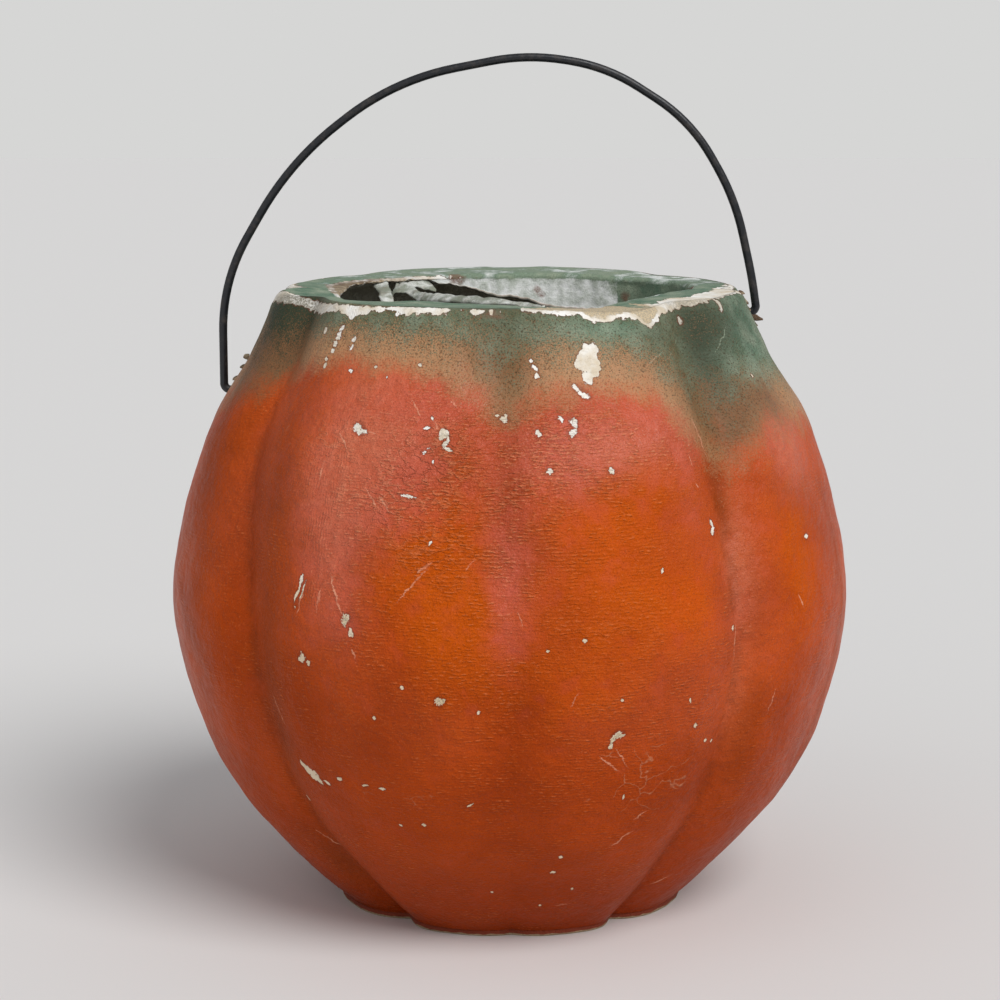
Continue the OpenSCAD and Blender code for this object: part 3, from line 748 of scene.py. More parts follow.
    column, row = np.meshgrid(np.arange(columns - 1), np.arange(rows), indexing="ij")
    following = (row + 1) % rows
    here, there = column * rows, (column + 1) * rows
    quads = np.stack([here + row, there + row, there + following, here + following], axis=2).reshape(-1, 4)
    first_end = list(range(rows))
    last_end = [(columns - 1) * rows + i for i in reversed(range(rows))]
    mesh = bpy.data.meshes.new(name)
    mesh.from_pydata((points.reshape(-1, 3) * MM).tolist(), [], quads.tolist() + [first_end, last_end])
    mesh.polygons.foreach_set("use_smooth", [True] * len(quads) + [False] * 2)
    for field, values in fields.items():
        data = mesh.attributes.new(field, "FLOAT", "POINT").data
        values = np.broadcast_to(values, r.shape).astype(np.float32)
        data.foreach_set("value", values.ravel())
    vectors = {"lie": np.stack([np.radians(wide) * BODY_R, up, 0 * up], axis=2)}
    for number in range(MARK_LAYERS):
        vectors[f"chip_{number}"] = chip_marks[number] * outside[None, :, None]
        vectors[f"scratch_{number}"] = scratch_marks[number] * outside[None, :, None]
    for field, values in vectors.items():
        data = mesh.attributes.new(field, "FLOAT_VECTOR", "POINT").data
        data.foreach_set("vector", values.astype(np.float32).ravel())
    uv_of_section(mesh, columns, rows)
    shell = bpy.data.objects.new(name, mesh)
    bpy.context.scene.collection.objects.link(shell)
    return shell


def linear(code):
    """An sRGB hex colour as Blender's linear colour."""
    parts = [int(code[i : i + 2], 16) / 255 for i in (1, 3, 5)]
    return (*[c / 12.92 if c <= 0.04045 else ((c + 0.055) / 1.055) ** 2.4 for c in parts], 1)


def add(tree, kind, sockets, out=0, **settings):
    """Adds a node with its settings, sets or links its sockets, and gives one of its outputs."""
    node = tree.nodes.new("ShaderNode" + kind)
    for name, value in settings.items():
        setattr(node, name, value)
    for socket, value in sockets.items():
        if isinstance(value, bpy.types.NodeSocket):
            tree.links.new(value, node.inputs[socket])
        else:
            node.inputs[socket].default_value = value
    return node.outputs[out] if node.outputs else node


def bare_finish(name):
    """A new material, its tree without nodes, and the place on the piece in mm."""
    material = bpy.data.materials.new(name)
    material.use_nodes = True
    tree = material.node_tree
    tree.nodes.clear()
    place = add(tree, "VectorMath", {0: add(tree, "TexCoord", {}, 3), "Scale": 1 / MM}, operation="SCALE")
    return material, tree, place


# Poster paint over gesso over pressed paper pulp. The paint is satin and uneven, the print of the
# mould's wire screen shows through it, and bare gesso is chalky and bare pulp is fibrous.
ORANGE = linear("#c64f14")
ORANGE_DARK = linear("#ae430f")
GOLDEN_ORANGE = linear("#c85502")
# Rose orange is the paint's pinkish tone, and partly painted sheen on the upper lobes
ROSE_AND_SHEEN_ORANGE = linear("#cb5a42")
# Deep red is painted shade, low on the pail and towards the foot
SHADE_DEEP_RED = linear("#8c2f05")
# Furrow brown is painted shade in and beside the furrows
FURROW_SHADE_BROWN = linear("#7c3611")
# Crease dark is painted shade along the furrows' creases
CREASE_SHADE = linear("#4f2410")
# This dark red is painted shade in the print's low rows and round bare places, and soil in the grain
PAINTED_SHADE_AND_SOIL = linear("#742a0c")
# These two are painted highlights, on the print's ridges, on the folds and in fine dots
PAINTED_HIGHLIGHT_PINK = linear("#e8936b")
PAINTED_HIGHLIGHT_ORANGE = linear("#db7440")
# Pale orange is painted sheen and painted reflection
PAINTED_SHEEN_ORANGE = linear("#d57a56")
GREEN_OLIVE = linear("#616449")
GREEN_TEAL = linear("#52755f")
GREEN_PALE = linear("#9aa58e")
# This dark green is painted shade on the green, and its fine dark specks
GREEN_SHADE_AND_SPECKS = linear("#333d2c")
DOT_DARK = linear("#3b3421")
FADE_TAN = linear("#b88b63")
# Fade brown is painted shade in the tan fade, at the furrows
FADE_SHADE_BROWN = linear("#7c5b3c")
SEAM_BROWN = linear("#43211a")
GESSO = linear("#fbf8f2")
GESSO_OLD = linear("#dccdb5")
LIP_WHITE = linear("#fcfdfa")
GESSO_TAN = linear("#dfc6a4")
# This grey is painted shade on bare gesso
SHADED_GESSO = linear("#8d8779")
CRACK_TAN = linear("#cf9471")
SCRATCH_PALE = linear("#eaa483")
PULP_TAN = linear("#e2cba5")
PULP_GREY = linear("#b5a994")
TORN_DARK = linear("#6b5645")
RUST = linear("#7a4330")
INSIDE_PALE = linear("#dad7cc")
INSIDE_DARK = linear("#aeaa9d")
# Sizes in mm: the pitch of the wire screen's rows and dashes, the lumps of the paint's dots, grain,
# mottle, blotches and wandering edges, the flakes that come off, and the net of cracks
SCREEN_PITCH = 0.64
DASH = 0.9
DOT = 0.36
GRAIN = 0.22
MOTTLE = 4.5
BLOTCH = 15
EDGE_WANDER = 1.8
FLAKE = 1.3
CRACK_PITCH = 9
# Relief in mm: what stands out, and what lies lower
WEAVE_HIGH = 0.1
FOLD_HIGH = 0.2
GRAIN_HIGH = 0.07
CREASE_DEEP = 0.05
BARE_DEEP = 0.1
CRACK_HIGH = 0.05
SCRATCH_HIGH = 0.06
FIBRE_HIGH = 0.4


def painted_pulp():
    """The shells' material. Each place on them knows what it is, from the fields of their nets. In a
    MapRange, 1 and 2 are the values between which 0 goes from strength 3 to strength 4, and in a
    colour Mix, 0 is the share of a coat, 6 what lies under it and 7 the coat."""
    material, tree, place = bare_finish("poster_paint_on_pressed_pulp")
    known = ("bare", "pulp", "spray", "primed", "raw", "foot", "crease", "seam", "stain", "hole", *PATCHES)
    known = {name: add(tree, "Attribute", {}, 2, attribute_name=name) for name in known}
    primed, raw = known["primed"], known["raw"]
    unprimed = add(tree, "Math", {0: 1, 1: primed}, operation="SUBTRACT")
    above_foot = add(tree, "Math", {0: 1, 1: known["foot"]}, operation="SUBTRACT")

    # Clouds, by the size of their lumps, which make every coat and edge uneven
    blotch = add(tree, "TexNoise", {"Vector": place, "Scale": 1 / BLOTCH})
    wander = add(tree, "TexNoise", {"Vector": place, "Scale": 1 / EDGE_WANDER, "Detail": 3})
    mottle = add(tree, "TexNoise", {"Vector": place, "Scale": 1 / MOTTLE, "Detail": 3, "Roughness": 0.6})
    grain = add(tree, "TexNoise", {"Vector": place, "Scale": 1 / GRAIN, "Detail": 1})
    dots = add(tree, "TexNoise", {"Vector": place, "Scale": 1 / DOT, "Roughness": 0.6})

    # Clouds that are stretched along the skin, by so many mm across and up, for the print and the folds
    lie = add(tree, "Attribute", {}, 1, attribute_name="lie")
    across, up, _ = add(tree, "SeparateXYZ", {0: lie}).node.outputs
    clouds = []
    for wide, high, detail in ((4, 2.2, 3), (3, 4, 2), (1.3, 0.55, 3), (4.2, 1.7, 3)):
        at = add(tree, "VectorMath", {0: lie, 1: (1 / wide, 1 / high, 1)}, operation="MULTIPLY")
        clouds.append(add(tree, "TexNoise", {"Vector": at, "Scale": 1, "Detail": detail}))
    waver, stray, broken, fold = clouds

    # The wire screen's print: fine rows of short dashes, higher and lower by turns, which turn into
    # columns here and there, and are broken up. 0 is the bare skin, plus is high and minus is low.
    waves = []
    for way, pitch, cloud, strength in (
        (up, SCREEN_PITCH, waver, 7),
        (across, DASH, stray, 9),
        (across, SCREEN_PITCH, waver, 7),
    ):
        wave = add(tree, "Math", {0: way, 1: math.pi / pitch}, operation="MULTIPLY")
        waves.append(add(tree, "Math", {0: cloud, 1: strength, 2: wave}, operation="MULTIPLY_ADD"))
    row, step, column = waves
    dashes = add(tree, "Math", {0: step}, operation="SINE")
    by_turns = add(tree, "Math", {0: row}, operation="COSINE")
    dashes = add(tree, "Math", {0: by_turns, 1: dashes}, operation="MULTIPLY")
    dashes = add(tree, "Math", {0: dashes, 1: 0.5, 2: 0.6}, operation="MULTIPLY_ADD")
    rows = add(tree, "Math", {0: row, 1: 2}, operation="MULTIPLY")
    rows = add(tree, "Math", {0: rows}, operation="COSINE")
    rows = add(tree, "Math", {0: rows, 1: dashes}, operation="MULTIPLY")
    columns = add(tree, "Math", {0: column, 1: 2}, operation="MULTIPLY")
    columns = add(tree, "Math", {0: columns}, operation="COSINE")
    faint = add(tree, "MapRange", {0: stray, 1: 0.3, 2: 0.6, 3: 0.3, 4: 1})
    columns = add(tree, "Math", {0: columns, 1: faint}, operation="MULTIPLY")
    upright = add(tree, "Math", {0: known["upright"], 1: 0.65}, operation="MULTIPLY")
    turned = add(tree, "Math", {0: columns, 1: rows}, operation="SUBTRACT")
    weave = add(tree, "Math", {0: upright, 1: turned, 2: rows}, operation="MULTIPLY_ADD")
    gaps = add(tree, "MapRange", {0: broken, 1: 0.38, 2: 0.55, 3: 0.1, 4: 1.1})
    weave = add(tree, "Math", {0: weave, 1: gaps}, operation="MULTIPLY")
    weave = add(tree, "Math", {0: weave, 1: 1.4}, operation="SUBTRACT")
    weave = add(tree, "Math", {0: broken, 1: 2.8, 2: weave}, operation="MULTIPLY_ADD")
    pressed = add(tree, "MapRange", {0: mottle, 1: 0.4, 2: 0.58, 3: 0.2, 4: 1.1})
    pressed = add(tree, "Math", {0: known["weave"], 1: pressed}, operation="MULTIPLY")
    weave = add(tree, "Math", {0: weave, 1: pressed}, operation="MULTIPLY")
    fold = add(tree, "Math", {0: fold, 1: 0.5}, operation="SUBTRACT")
    fold = add(tree, "Math", {0: fold}, operation="ABSOLUTE")
    fold = add(tree, "MapRange", {0: fold, 1: 0.05, 2: 0})
    fold = add(tree, "Math", {0: fold, 1: known["wrinkled"]}, operation="MULTIPLY")

    def coated(under, coats):
        """A colour with coats over it, each with where it lies, how much of it there is, and its colour."""
        for where, much, colour in coats:
            share = add(tree, "Math", {0: where, 1: much}, operation="MULTIPLY")
            under = add(tree, "Mix", {0: share, 6: under, 7: colour}, 2, data_type="RGBA")
        return under

    # Orange paint, with golden patches, rose patches that are partly painted sheen, pale patches of painted
    # sheen, painted shade in deep red low down and towards the foot and in brown by the furrows and their
    # creases, painted highlights on the screen's print, on its folds and in fine dots, painted shade in the
    # print's low rows, and soil in the grain. The rim's top and the lip have a white ground instead.
    uneven = add(tree, "MapRange", {0: blotch, 1: 0.35, 2: 0.65})
    paint = add(tree, "Mix", {0: uneven, 6: ORANGE, 7: ORANGE_DARK}, 2, data_type="RGBA")
    patchy = add(tree, "MapRange", {0: mottle, 1: 0.3, 2: 0.7, 3: -0.3, 4: 0.3})
    golden = add(tree, "Math", {0: known["golden"], 1: patchy}, operation="ADD")
    golden = add(tree, "MapRange", {0: golden, 1: 0.1, 2: 0.9})
    rose_and_sheen = add(tree, "Math", {0: known["rose_and_sheen"], 1: patchy}, operation="SUBTRACT")
    rose_and_sheen = add(tree, "MapRange", {0: rose_and_sheen, 1: 0.1, 2: 0.9})
    glint = add(tree, "Math", {0: known["rose_and_sheen"], 1: known["painted_sheen"]}, operation="ADD")
    glint = add(tree, "Mix", {0: glint, 6: PAINTED_HIGHLIGHT_ORANGE, 7: PAINTED_HIGHLIGHT_PINK}, 2, data_type="RGBA")
    ground = add(tree, "MapRange", {0: wander, 1: 0.4, 2: 0.65, 3: 0.05, 4: 0.55})
    ground = add(tree, "Mix", {0: ground, 6: LIP_WHITE, 7: GREEN_PALE}, 2, data_type="RGBA")
    paint = coated(paint, (
        (golden, add(tree, "MapRange", {0: blotch, 1: 0.7, 2: 0.3, 3: 0.65, 4: 1}), GOLDEN_ORANGE),
        (rose_and_sheen, add(tree, "MapRange", {0: wander, 1: 0.3, 2: 0.7, 3: 0.5, 4: 0.9}), ROSE_AND_SHEEN_ORANGE),
        (known["painted_sheen"], add(tree, "MapRange", {0: wander, 1: 0.3, 2: 0.7, 3: 0.3, 4: 0.8}), PAINTED_SHEEN_ORANGE),
        (known["deep"], 0.8, SHADE_DEEP_RED),
        (known["foot"], 0.75, SHADE_DEEP_RED),
        (known["furrow_shade"], 0.8, FURROW_SHADE_BROWN),
        (1, add(tree, "MapRange", {0: weave, 1: 0, 2: -0.9, 3: 0, 4: 0.55}), PAINTED_SHADE_AND_SOIL),
        (1, add(tree, "MapRange", {0: weave, 1: 0.25, 2: 0.9, 3: 0, 4: 0.55}), glint),
        (fold, add(tree, "MapRange", {0: mottle, 1: 0.4, 2: 0.55, 3: 0.05, 4: 0.5}), glint),
        (1, add(tree, "MapRange", {0: grain, 1: 0.5, 2: 0.75, 3: 0, 4: 0.45}), PAINTED_SHADE_AND_SOIL),
        (above_foot, add(tree, "MapRange", {0: dots, 1: 0.6, 2: 0.75, 3: 0, 4: 0.4}), glint),
        (known["crease"], add(tree, "MapRange", {0: mottle, 1: 0.35, 2: 0.6, 3: 0, 4: 0.22}), CREASE_SHADE),
        (primed, 1, ground),
    ))

    # Green paint, sprayed on from above. It is bluer where it's thick, and thins out in fine spatter. Painted
    # shade darkens it in patches, mostly at the furrows, and its grain has fine dark specks.
    green = add(tree, "MapRange", {0: mottle, 1: 0.35, 2: 0.7, 3: 0, 4: 0.45})
    green = add(tree, "Mix", {0: green, 6: GREEN_OLIVE, 7: GREEN_PALE}, 2, data_type="RGBA")
    bluer = add(tree, "Math", {0: known["teal"], 1: primed}, operation="MAXIMUM")
    teal = add(tree, "MapRange", {0: mottle, 1: 0.3, 2: 0.7})
    teal = add(tree, "Mix", {0: teal, 6: GREEN_TEAL, 7: GREEN_PALE}, 2, data_type="RGBA")
    green = coated(green, (
        (bluer, 1, teal),
        (known["painted_shade"], 0.9, GREEN_SHADE_AND_SPECKS),
        (1, add(tree, "MapRange", {0: grain, 1: 0.5, 2: 0.8, 3: 0, 4: 0.6}), GREEN_SHADE_AND_SPECKS),
    ))
    cloudy = add(tree, "Math", {0: primed, 1: 0.3, 2: 0.12}, operation="MULTIPLY_ADD")
    wet = add(tree, "MapRange", {0: mottle, 1: 0.3, 2: 0.7, 3: -1, 4: 1})
    wet = add(tree, "Math", {0: wet, 1: cloudy, 2: known["spray"]}, operation="MULTIPLY_ADD")
    spatter = add(tree, "MapRange", {0: dots, 1: 0.25, 2: 0.75, 3: -0.3, 4: 0.3})
    finest = add(tree, "MapRange", {0: grain, 1: 0.25, 2: 0.75, 3: -0.34, 4: 0.34})
    spatter = add(tree, "Math", {0: spatter, 1: finest}, operation="ADD")
    on_wall = add(tree, "MapRange", {0: unprimed, 1: 0, 2: 1, 3: 0.25, 4: 1})
    off_teal = add(tree, "MapRange", {0: known["teal"], 1: 0, 2: 1, 3: 1, 4: 0.35})
    speckled = add(tree, "Math", {0: on_wall, 1: off_teal}, operation="MULTIPLY")
    cover = add(tree, "Math", {0: spatter, 1: speckled, 2: wet}, operation="MULTIPLY_ADD")
    cover = add(tree, "MapRange", {0: cover, 1: 0.35, 2: 0.95}, interpolation_type="SMOOTHSTEP")
    tan = add(tree, "Math", {0: spatter, 1: 0.35, 2: wet}, operation="MULTIPLY_ADD")
    tan = add(tree, "MapRange", {0: tan, 1: -0.15, 2: 0.3, 3: 0, 4: 0.92})
    fade = add(tree, "Mix", {0: known["fade_shade"], 6: FADE_TAN, 7: FADE_SHADE_BROWN}, 2, data_type="RGBA")
    shower = add(tree, "MapRange", {0: wet, 1: -0.1, 2: 0.4})
    shower = add(tree, "Math", {0: unprimed, 1: shower}, operation="MULTIPLY")
    stain = add(tree, "MapRange", {0: wander, 1: 0.3, 2: 0.7, 3: -0.3, 4: 0.3})
    stain = add(tree, "Math", {0: known["stain"], 1: stain}, operation="ADD")
    stain = add(tree, "MapRange", {0: stain, 1: 0, 2: 0.6, 3: 0, 4: 0.85})

    def marks(kind, wild, wave):
        """How deep each place lies in a thin mark near it: a lens with pointed ends, a little ragged."""
        nearest = AWAY
        wave = add(tree, "MapRange", {0: wander, 1: 0.2, 2: 0.8, 3: -wave, 4: wave})
        for number in range(MARK_LAYERS):
            layer = add(tree, "Attribute", {}, 1, attribute_name=f"{kind}_{number}")
            aside, along, within = add(tree, "SeparateXYZ", {0: layer}).node.outputs
            aside = add(tree, "Math", {0: aside, 1: wave}, operation="ADD")
            aside = add(tree, "Math", {0: aside}, operation="ABSOLUTE")
            lens = add(tree, "Math", {0: along, 1: along, 2: aside}, operation="MULTIPLY_ADD")
            near = add(tree, "Math", {0: within, 1: 0.5}, operation="GREATER_THAN")
            near = add(tree, "Math", {0: near, 1: 9}, operation="MULTIPLY")
            lens = add(tree, "Math", {0: near, 1: lens}, operation="SUBTRACT")
            lens = add(tree, "Math", {0: lens, 1: 8}, operation="SUBTRACT")
            nearest = add(tree, "Math", {0: lens, 1: nearest}, operation="MAXIMUM")
        ragged = add(tree, "MapRange", {0: dots, 1: 0.3, 2: 0.7, 3: -wild, 4: wild})
        return add(tree, "Math", {0: nearest, 1: ragged}, operation="ADD")

    # Bare gesso and pulp, with a ragged edge
    flake = add(tree, "TexVoronoi", {"Vector": place, "Scale": 1 / FLAKE})
    flake = add(tree, "MapRange", {0: flake, 1: 0.1, 2: 0.8, 3: 0.35, 4: -0.35})
    rag = add(tree, "MapRange", {0: dots, 1: 0.3, 2: 0.7, 3: -0.16, 4: 0.16})
    rag = add(tree, "Math", {0: flake, 1: rag}, operation="ADD")
    edge = add(tree, "Math", {0: known["bare"], 1: rag}, operation="ADD")
    thin_chip = marks("chip", 0.35, 0.9)
    bare = add(tree, "MapRange", {0: edge, 1: -0.03, 2: 0.05})
    bare_chip = add(tree, "MapRange", {0: thin_chip, 1: 0.1, 2: 0.3})
    bare = add(tree, "Math", {0: bare, 1: bare_chip}, operation="MAXIMUM")
    core = add(tree, "Math", {0: known["pulp"], 1: rag}, operation="ADD")
    core = add(tree, "MapRange", {0: core, 1: -0.1, 2: 0.3})
    core = add(tree, "Math", {0: core, 1: bare}, operation="MULTIPLY")

    # Fine cracks, which wander and break off, and thin pale scratches
    bent = add(tree, "TexNoise", {"Vector": place, "Scale": 1 / 4}, 1)
    bent = add(tree, "VectorMath", {0: bent, "Scale": 5}, operation="SCALE")
    bent = add(tree, "VectorMath", {0: place, 1: bent}, operation="ADD")
    crack = add(tree, "TexVoronoi", {"Vector": bent, "Scale": 1 / CRACK_PITCH}, feature="DISTANCE_TO_EDGE")
    thinner = add(tree, "MapRange", {0: dots, 1: 0.35, 2: 0.65, 3: 0, 4: 0.012})
    crack = add(tree, "Math", {0: crack, 1: thinner}, operation="ADD")
    crack = add(tree, "MapRange", {0: crack, 1: 0.02, 2: 0.006})
    cracked = add(tree, "MapRange", {0: mottle, 1: 0.3, 2: 0.7, 3: -0.7, 4: 0.3})
    cracked = add(tree, "Math", {0: known["cracked"], 1: cracked}, operation="ADD")
    cracked = add(tree, "MapRange", {0: cracked, 1: 0.25, 2: 0.5})
    crack = add(tree, "Math", {0: crack, 1: cracked}, operation="MULTIPLY")
    scratch = add(tree, "MapRange", {0: marks("scratch", 0.6, 2.5), 1: -0.2, 2: 0.4})
    faint = add(tree, "MapRange", {0: mottle, 1: 0.35, 2: 0.6, 3: 0.1, 4: 0.65})
    scratch = add(tree, "Math", {0: scratch, 1: faint}, operation="MULTIPLY")
    scratched = add(tree, "Mix", {0: cover, 6: SCRATCH_PALE, 7: GREEN_PALE}, 2, data_type="RGBA")
    joint = add(tree, "MapRange", {0: dots, 1: 0.3, 2: 0.7, 3: -0.3, 4: 0.3})
    joint = add(tree, "Math", {0: known["seam"], 1: joint}, operation="ADD")
    joint = add(tree, "MapRange", {0: joint, 1: 0.4, 2: 0.8})

    # Over the orange: the tan fade, with painted shade at the furrows, the green, its shower of dark dots,
    # rust, a painted shadow round what is bare, the scratches, and the dark line of the joint
    paint = coated(paint, (
        (unprimed, tan, fade),
        (cover, 1, green),
        (shower, add(tree, "MapRange", {0: dots, 1: 0.44, 2: 0.36, 3: 0, 4: 0.7}), DOT_DARK),
        (stain, add(tree, "MapRange", {0: grain, 1: 0.35, 2: 0.6, 3: 1, 4: 0.5}), RUST),
        (1, add(tree, "MapRange", {0: edge, 1: -0.22, 2: -0.03, 3: 0, 4: 0.6}), PAINTED_SHADE_AND_SOIL),
        (1, add(tree, "MapRange", {0: thin_chip, 1: -0.7, 2: 0.1, 3: 0, 4: 0.6}), PAINTED_SHADE_AND_SOIL),
        (scratch, 1, scratched),
        (joint, add(tree, "MapRange", {0: mottle, 1: 0.35, 2: 0.6, 3: 0.25, 4: 0.8}), SEAM_BROWN),
    ))

    # What shows where the paint is off: chalky gesso, older low down and darkened by painted shade in
    # patches, and fibrous pulp, both dirty at the holes and tears. The inside is raw pulp all over.
    gesso = add(tree, "MapRange", {0: mottle, 1: 0.35, 2: 0.65})
    gesso = add(tree, "Mix", {0: gesso, 6: GESSO, 7: GESSO_OLD}, 2, data_type="RGBA")
    fibre = add(tree, "MapRange", {0: grain, 1: 0.35, 2: 0.65})
    fibre = add(tree, "Mix", {0: fibre, 6: PULP_TAN, 7: PULP_GREY}, 2, data_type="RGBA")
    inside = add(tree, "MapRange", {0: mottle, 1: 0.3, 2: 0.7})
    inside = add(tree, "Mix", {0: inside, 6: INSIDE_PALE, 7: INSIDE_DARK}, 2, data_type="RGBA")
    dirt = add(tree, "MapRange", {0: wander, 1: 0.3, 2: 0.6, 3: 0.2, 4: 0.85})
    gesso = coated(gesso, (
        (1, add(tree, "MapRange", {0: up, 1: 90, 2: 76, 3: 0, 4: 0.75}), GESSO_TAN),
        (known["painted_shade"], add(tree, "MapRange", {0: dots, 1: 0.35, 2: 0.6, 3: 0.3, 4: 0.9}), SHADED_GESSO),
        (known["hole"], dirt, TORN_DARK),
    ))
    fibre = coated(fibre, ((known["hole"], dirt, TORN_DARK),))
    skin = coated(paint, ((bare, 1, gesso), (core, 1, fibre), (crack, 0.45, CRACK_TAN), (raw, 1, inside)))

    # Relief: each layer with its height in mm
    matted = add(tree, "TexNoise", {"Vector": place, "Scale": 1.2, "Detail": 4, "Distortion": 2})
    fibrous = add(tree, "Math", {0: raw, 1: core}, operation="MAXIMUM")
    matted = add(tree, "Math", {0: matted, 1: fibrous}, operation="MULTIPLY")
    height = 0
    for layer, high in (
        (weave, WEAVE_HIGH),
        (fold, FOLD_HIGH),
        (grain, GRAIN_HIGH),
        (dots, add(tree, "MapRange", {0: primed, 1: 0, 2: 1, 3: 0.15, 4: 0.07})),
        (known["crease"], -CREASE_DEEP),
        (mottle, add(tree, "MapRange", {0: primed, 1: 0, 2: 1, 3: 0.55, 4: 0.1})),
        (wander, add(tree, "MapRange", {0: primed, 1: 0, 2: 1, 3: 0.45, 4: 0.25})),
        (bare, -BARE_DEEP),
        (core, -BARE_DEEP),
        (crack, CRACK_HIGH),
        (scratch, SCRATCH_HIGH),
        (matted, FIBRE_HIGH),
    ):
        height = add(tree, "Math", {0: layer, 1: high, 2: height}, operation="MULTIPLY_ADD")
    bump = add(tree, "Bump", {"Strength": 1, "Distance": MM, "Height": height})

    # The paint is satin, the green duller, and what is bare is matt. The deep places shine least.
    rough = add(tree, "MapRange", {0: wander, 1: 0.3, 2: 0.7, 3: 0.34, 4: 0.46})
    rough = add(tree, "Mix", {0: cover, 2: rough, 3: 0.6})
    unpainted = add(tree, "Math", {0: bare, 1: raw}, operation="MAXIMUM")
    rough = add(tree, "Mix", {0: unpainted, 2: rough, 3: 0.9})
    dull = known["foot"]
    for patch in ("golden", "furrow_shade", "deep"):
        dull = add(tree, "Math", {0: dull, 1: known[patch]}, operation="ADD")
    shine = add(tree, "Math", {0: dull, 1: known["rose_and_sheen"]}, operation="SUBTRACT")
    shine = add(tree, "MapRange", {0: shine, 1: -0.5, 2: 0.5, 3: 0.6, 4: 0.1})
    shader = add(tree, "BsdfPrincipled", {
        "Base Color": skin, "Roughness": rough, "Specular IOR Level": shine, "Normal": bump, "IOR": 1.35,
    })
    add(tree, "OutputMaterial", {0: shader})
    return material


paint = painted_pulp()
for name, node, start, step in (
    ("painted_front_half", "front_shell", -90, STEP_FRONT),
    ("painted_back_half", "back_shell", 90, STEP_BACK),
):
    shell = half_shell(name, start, step)
    shell.data.materials.append(paint)
    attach(shell, "pail")
    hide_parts(node)

# Where the rim and the holes are torn, strips and small leaves of the pressed paper still hang on.
# Each is given by places along it, a direction across it, and its widths in mm.
def at_depth(u, v, y):
    """The place that a pixel shows, at a distance y behind the pail's middle."""
    way = sight(u, v)
    return EYE + way * (y - EYE[1]) / way[1]


def torn_paper(name, leaves, thick, crumple, fields):
    """Crumpled leaves of paper with ragged edges, as one piece."""
    points, faces = [], []
    for seed, (path, across, widths) in enumerate(leaves):
        middle = smooth(path, 5)
        half = smooth(np.array(widths)[:, None], 5)[:, 0] / 2
        across = np.array(across) / np.linalg.norm(across)
        share = np.linspace(-1, 1, 7)
        sheet = middle[:, None] + share[None, :, None] * half[:, None, None] * across
        sheet = sheet + lumps(sheet, 0.9, 40 + seed)[:, :, None] * 0.3 * np.abs(share)[None, :, None] * across
        facing = np.cross(np.gradient(middle, axis=0), across)
        facing = facing / np.linalg.norm(facing, axis=1, keepdims=True)
        sheet = sheet + lumps(sheet, 1.3, 60 + seed)[:, :, None] * crumple * facing[:, None]
        depth = thick / 2 * (0.35 + 0.65 * (1 - share**2))[None, :]
        depth = depth * np.linspace(1, 0.5, len(middle))[:, None]
        first = len(points)
        n, m = sheet.shape[:2]
        points += (sheet + depth[:, :, None] * facing[:, None]).reshape(-1, 3).tolist()
        points += (sheet - depth[:, :, None] * facing[:, None]).reshape(-1, 3).tolist()
        for i in range(n - 1):
            for j in range(m - 1):
                a = first + i * m + j
                faces.append((a, a + 1, a + m + 1, a + m))
                faces.append((a + n * m, a + n * m + m, a + n * m + m + 1, a + n * m + 1))
        ring = [(0, j) for j in range(m)] + [(i, m - 1) for i in range(1, n)]
        ring += [(n - 1, j) for j in range(m - 2, -1, -1)] + [(i, 0) for i in range(n - 2, 0, -1)]
        ring = [first + i * m + j for i, j in ring]
        faces += [(b, a, a + n * m, b + n * m) for a, b in zip(ring, ring[1:] + ring[:1])]
    mesh = bpy.data.meshes.new(name)
    mesh.from_pydata((np.array(points) * MM).tolist(), [], faces)
    mesh.polygons.foreach_set("use_smooth", [True] * len(faces))
    for field, value in fields.items():
        mesh.attributes.new(field, "FLOAT", "POINT").data.foreach_set("value", [value] * len(points))
    mesh.materials.append(paint)
    leaf = bpy.data.objects.new(name, mesh)
    bpy.context.scene.collection.objects.link(leaf)
    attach(leaf, "pail")


def seen_path(*places):
    """Places in mm along a strip, from pixels and distances behind the pail's middle."""
    return [at_depth(u, v, y) for u, v, y in places]


# The strips in the mouth are darkened with painted shade, as they hang in the mouth's shadow.
torn_paper("torn_strips_in_mouth", [
    (
        seen_path((379, 281.5, 22), (382, 287, 19), (385, 292, 15), (386, 297, 12), (389, 303, 9)),
        (1, 0.2, 0.1),
        (3.2, 2.8, 2.4, 2.6, 2),
    ),
    (
        seen_path((545, 308, -30), (522, 304.5, -25), (495, 301.5, -20), (465, 299.5, -13), (442, 298, -5),
                  (427, 297.5, 3), (418, 296, 10), (412, 291, 15), (405, 287.5, 17), (398, 289, 17),
                  (393, 292.5, 17), (389, 297, 16.5), (386, 302, 16)),
        (0.1, 1, 0.3),
        (1, 1.8, 2.8, 3.4, 3.8, 4.2, 4.6, 5, 5, 4.6, 4, 3, 2),
    ),
    (
        seen_path((396, 284, 24), (408, 281.5, 26), (421, 283, 26), (430, 287, 25), (436, 291, 24)),
        (0.1, 1, 0.4),
        (3, 4.4, 4.4, 2.8, 0.6),
    ),
], 0.7, 0.35, {"primed": 1.0, "spray": 0.7, "bare": -0.9, "pulp": -1.0, "painted_shade": 0.5, "raw": 0.35})
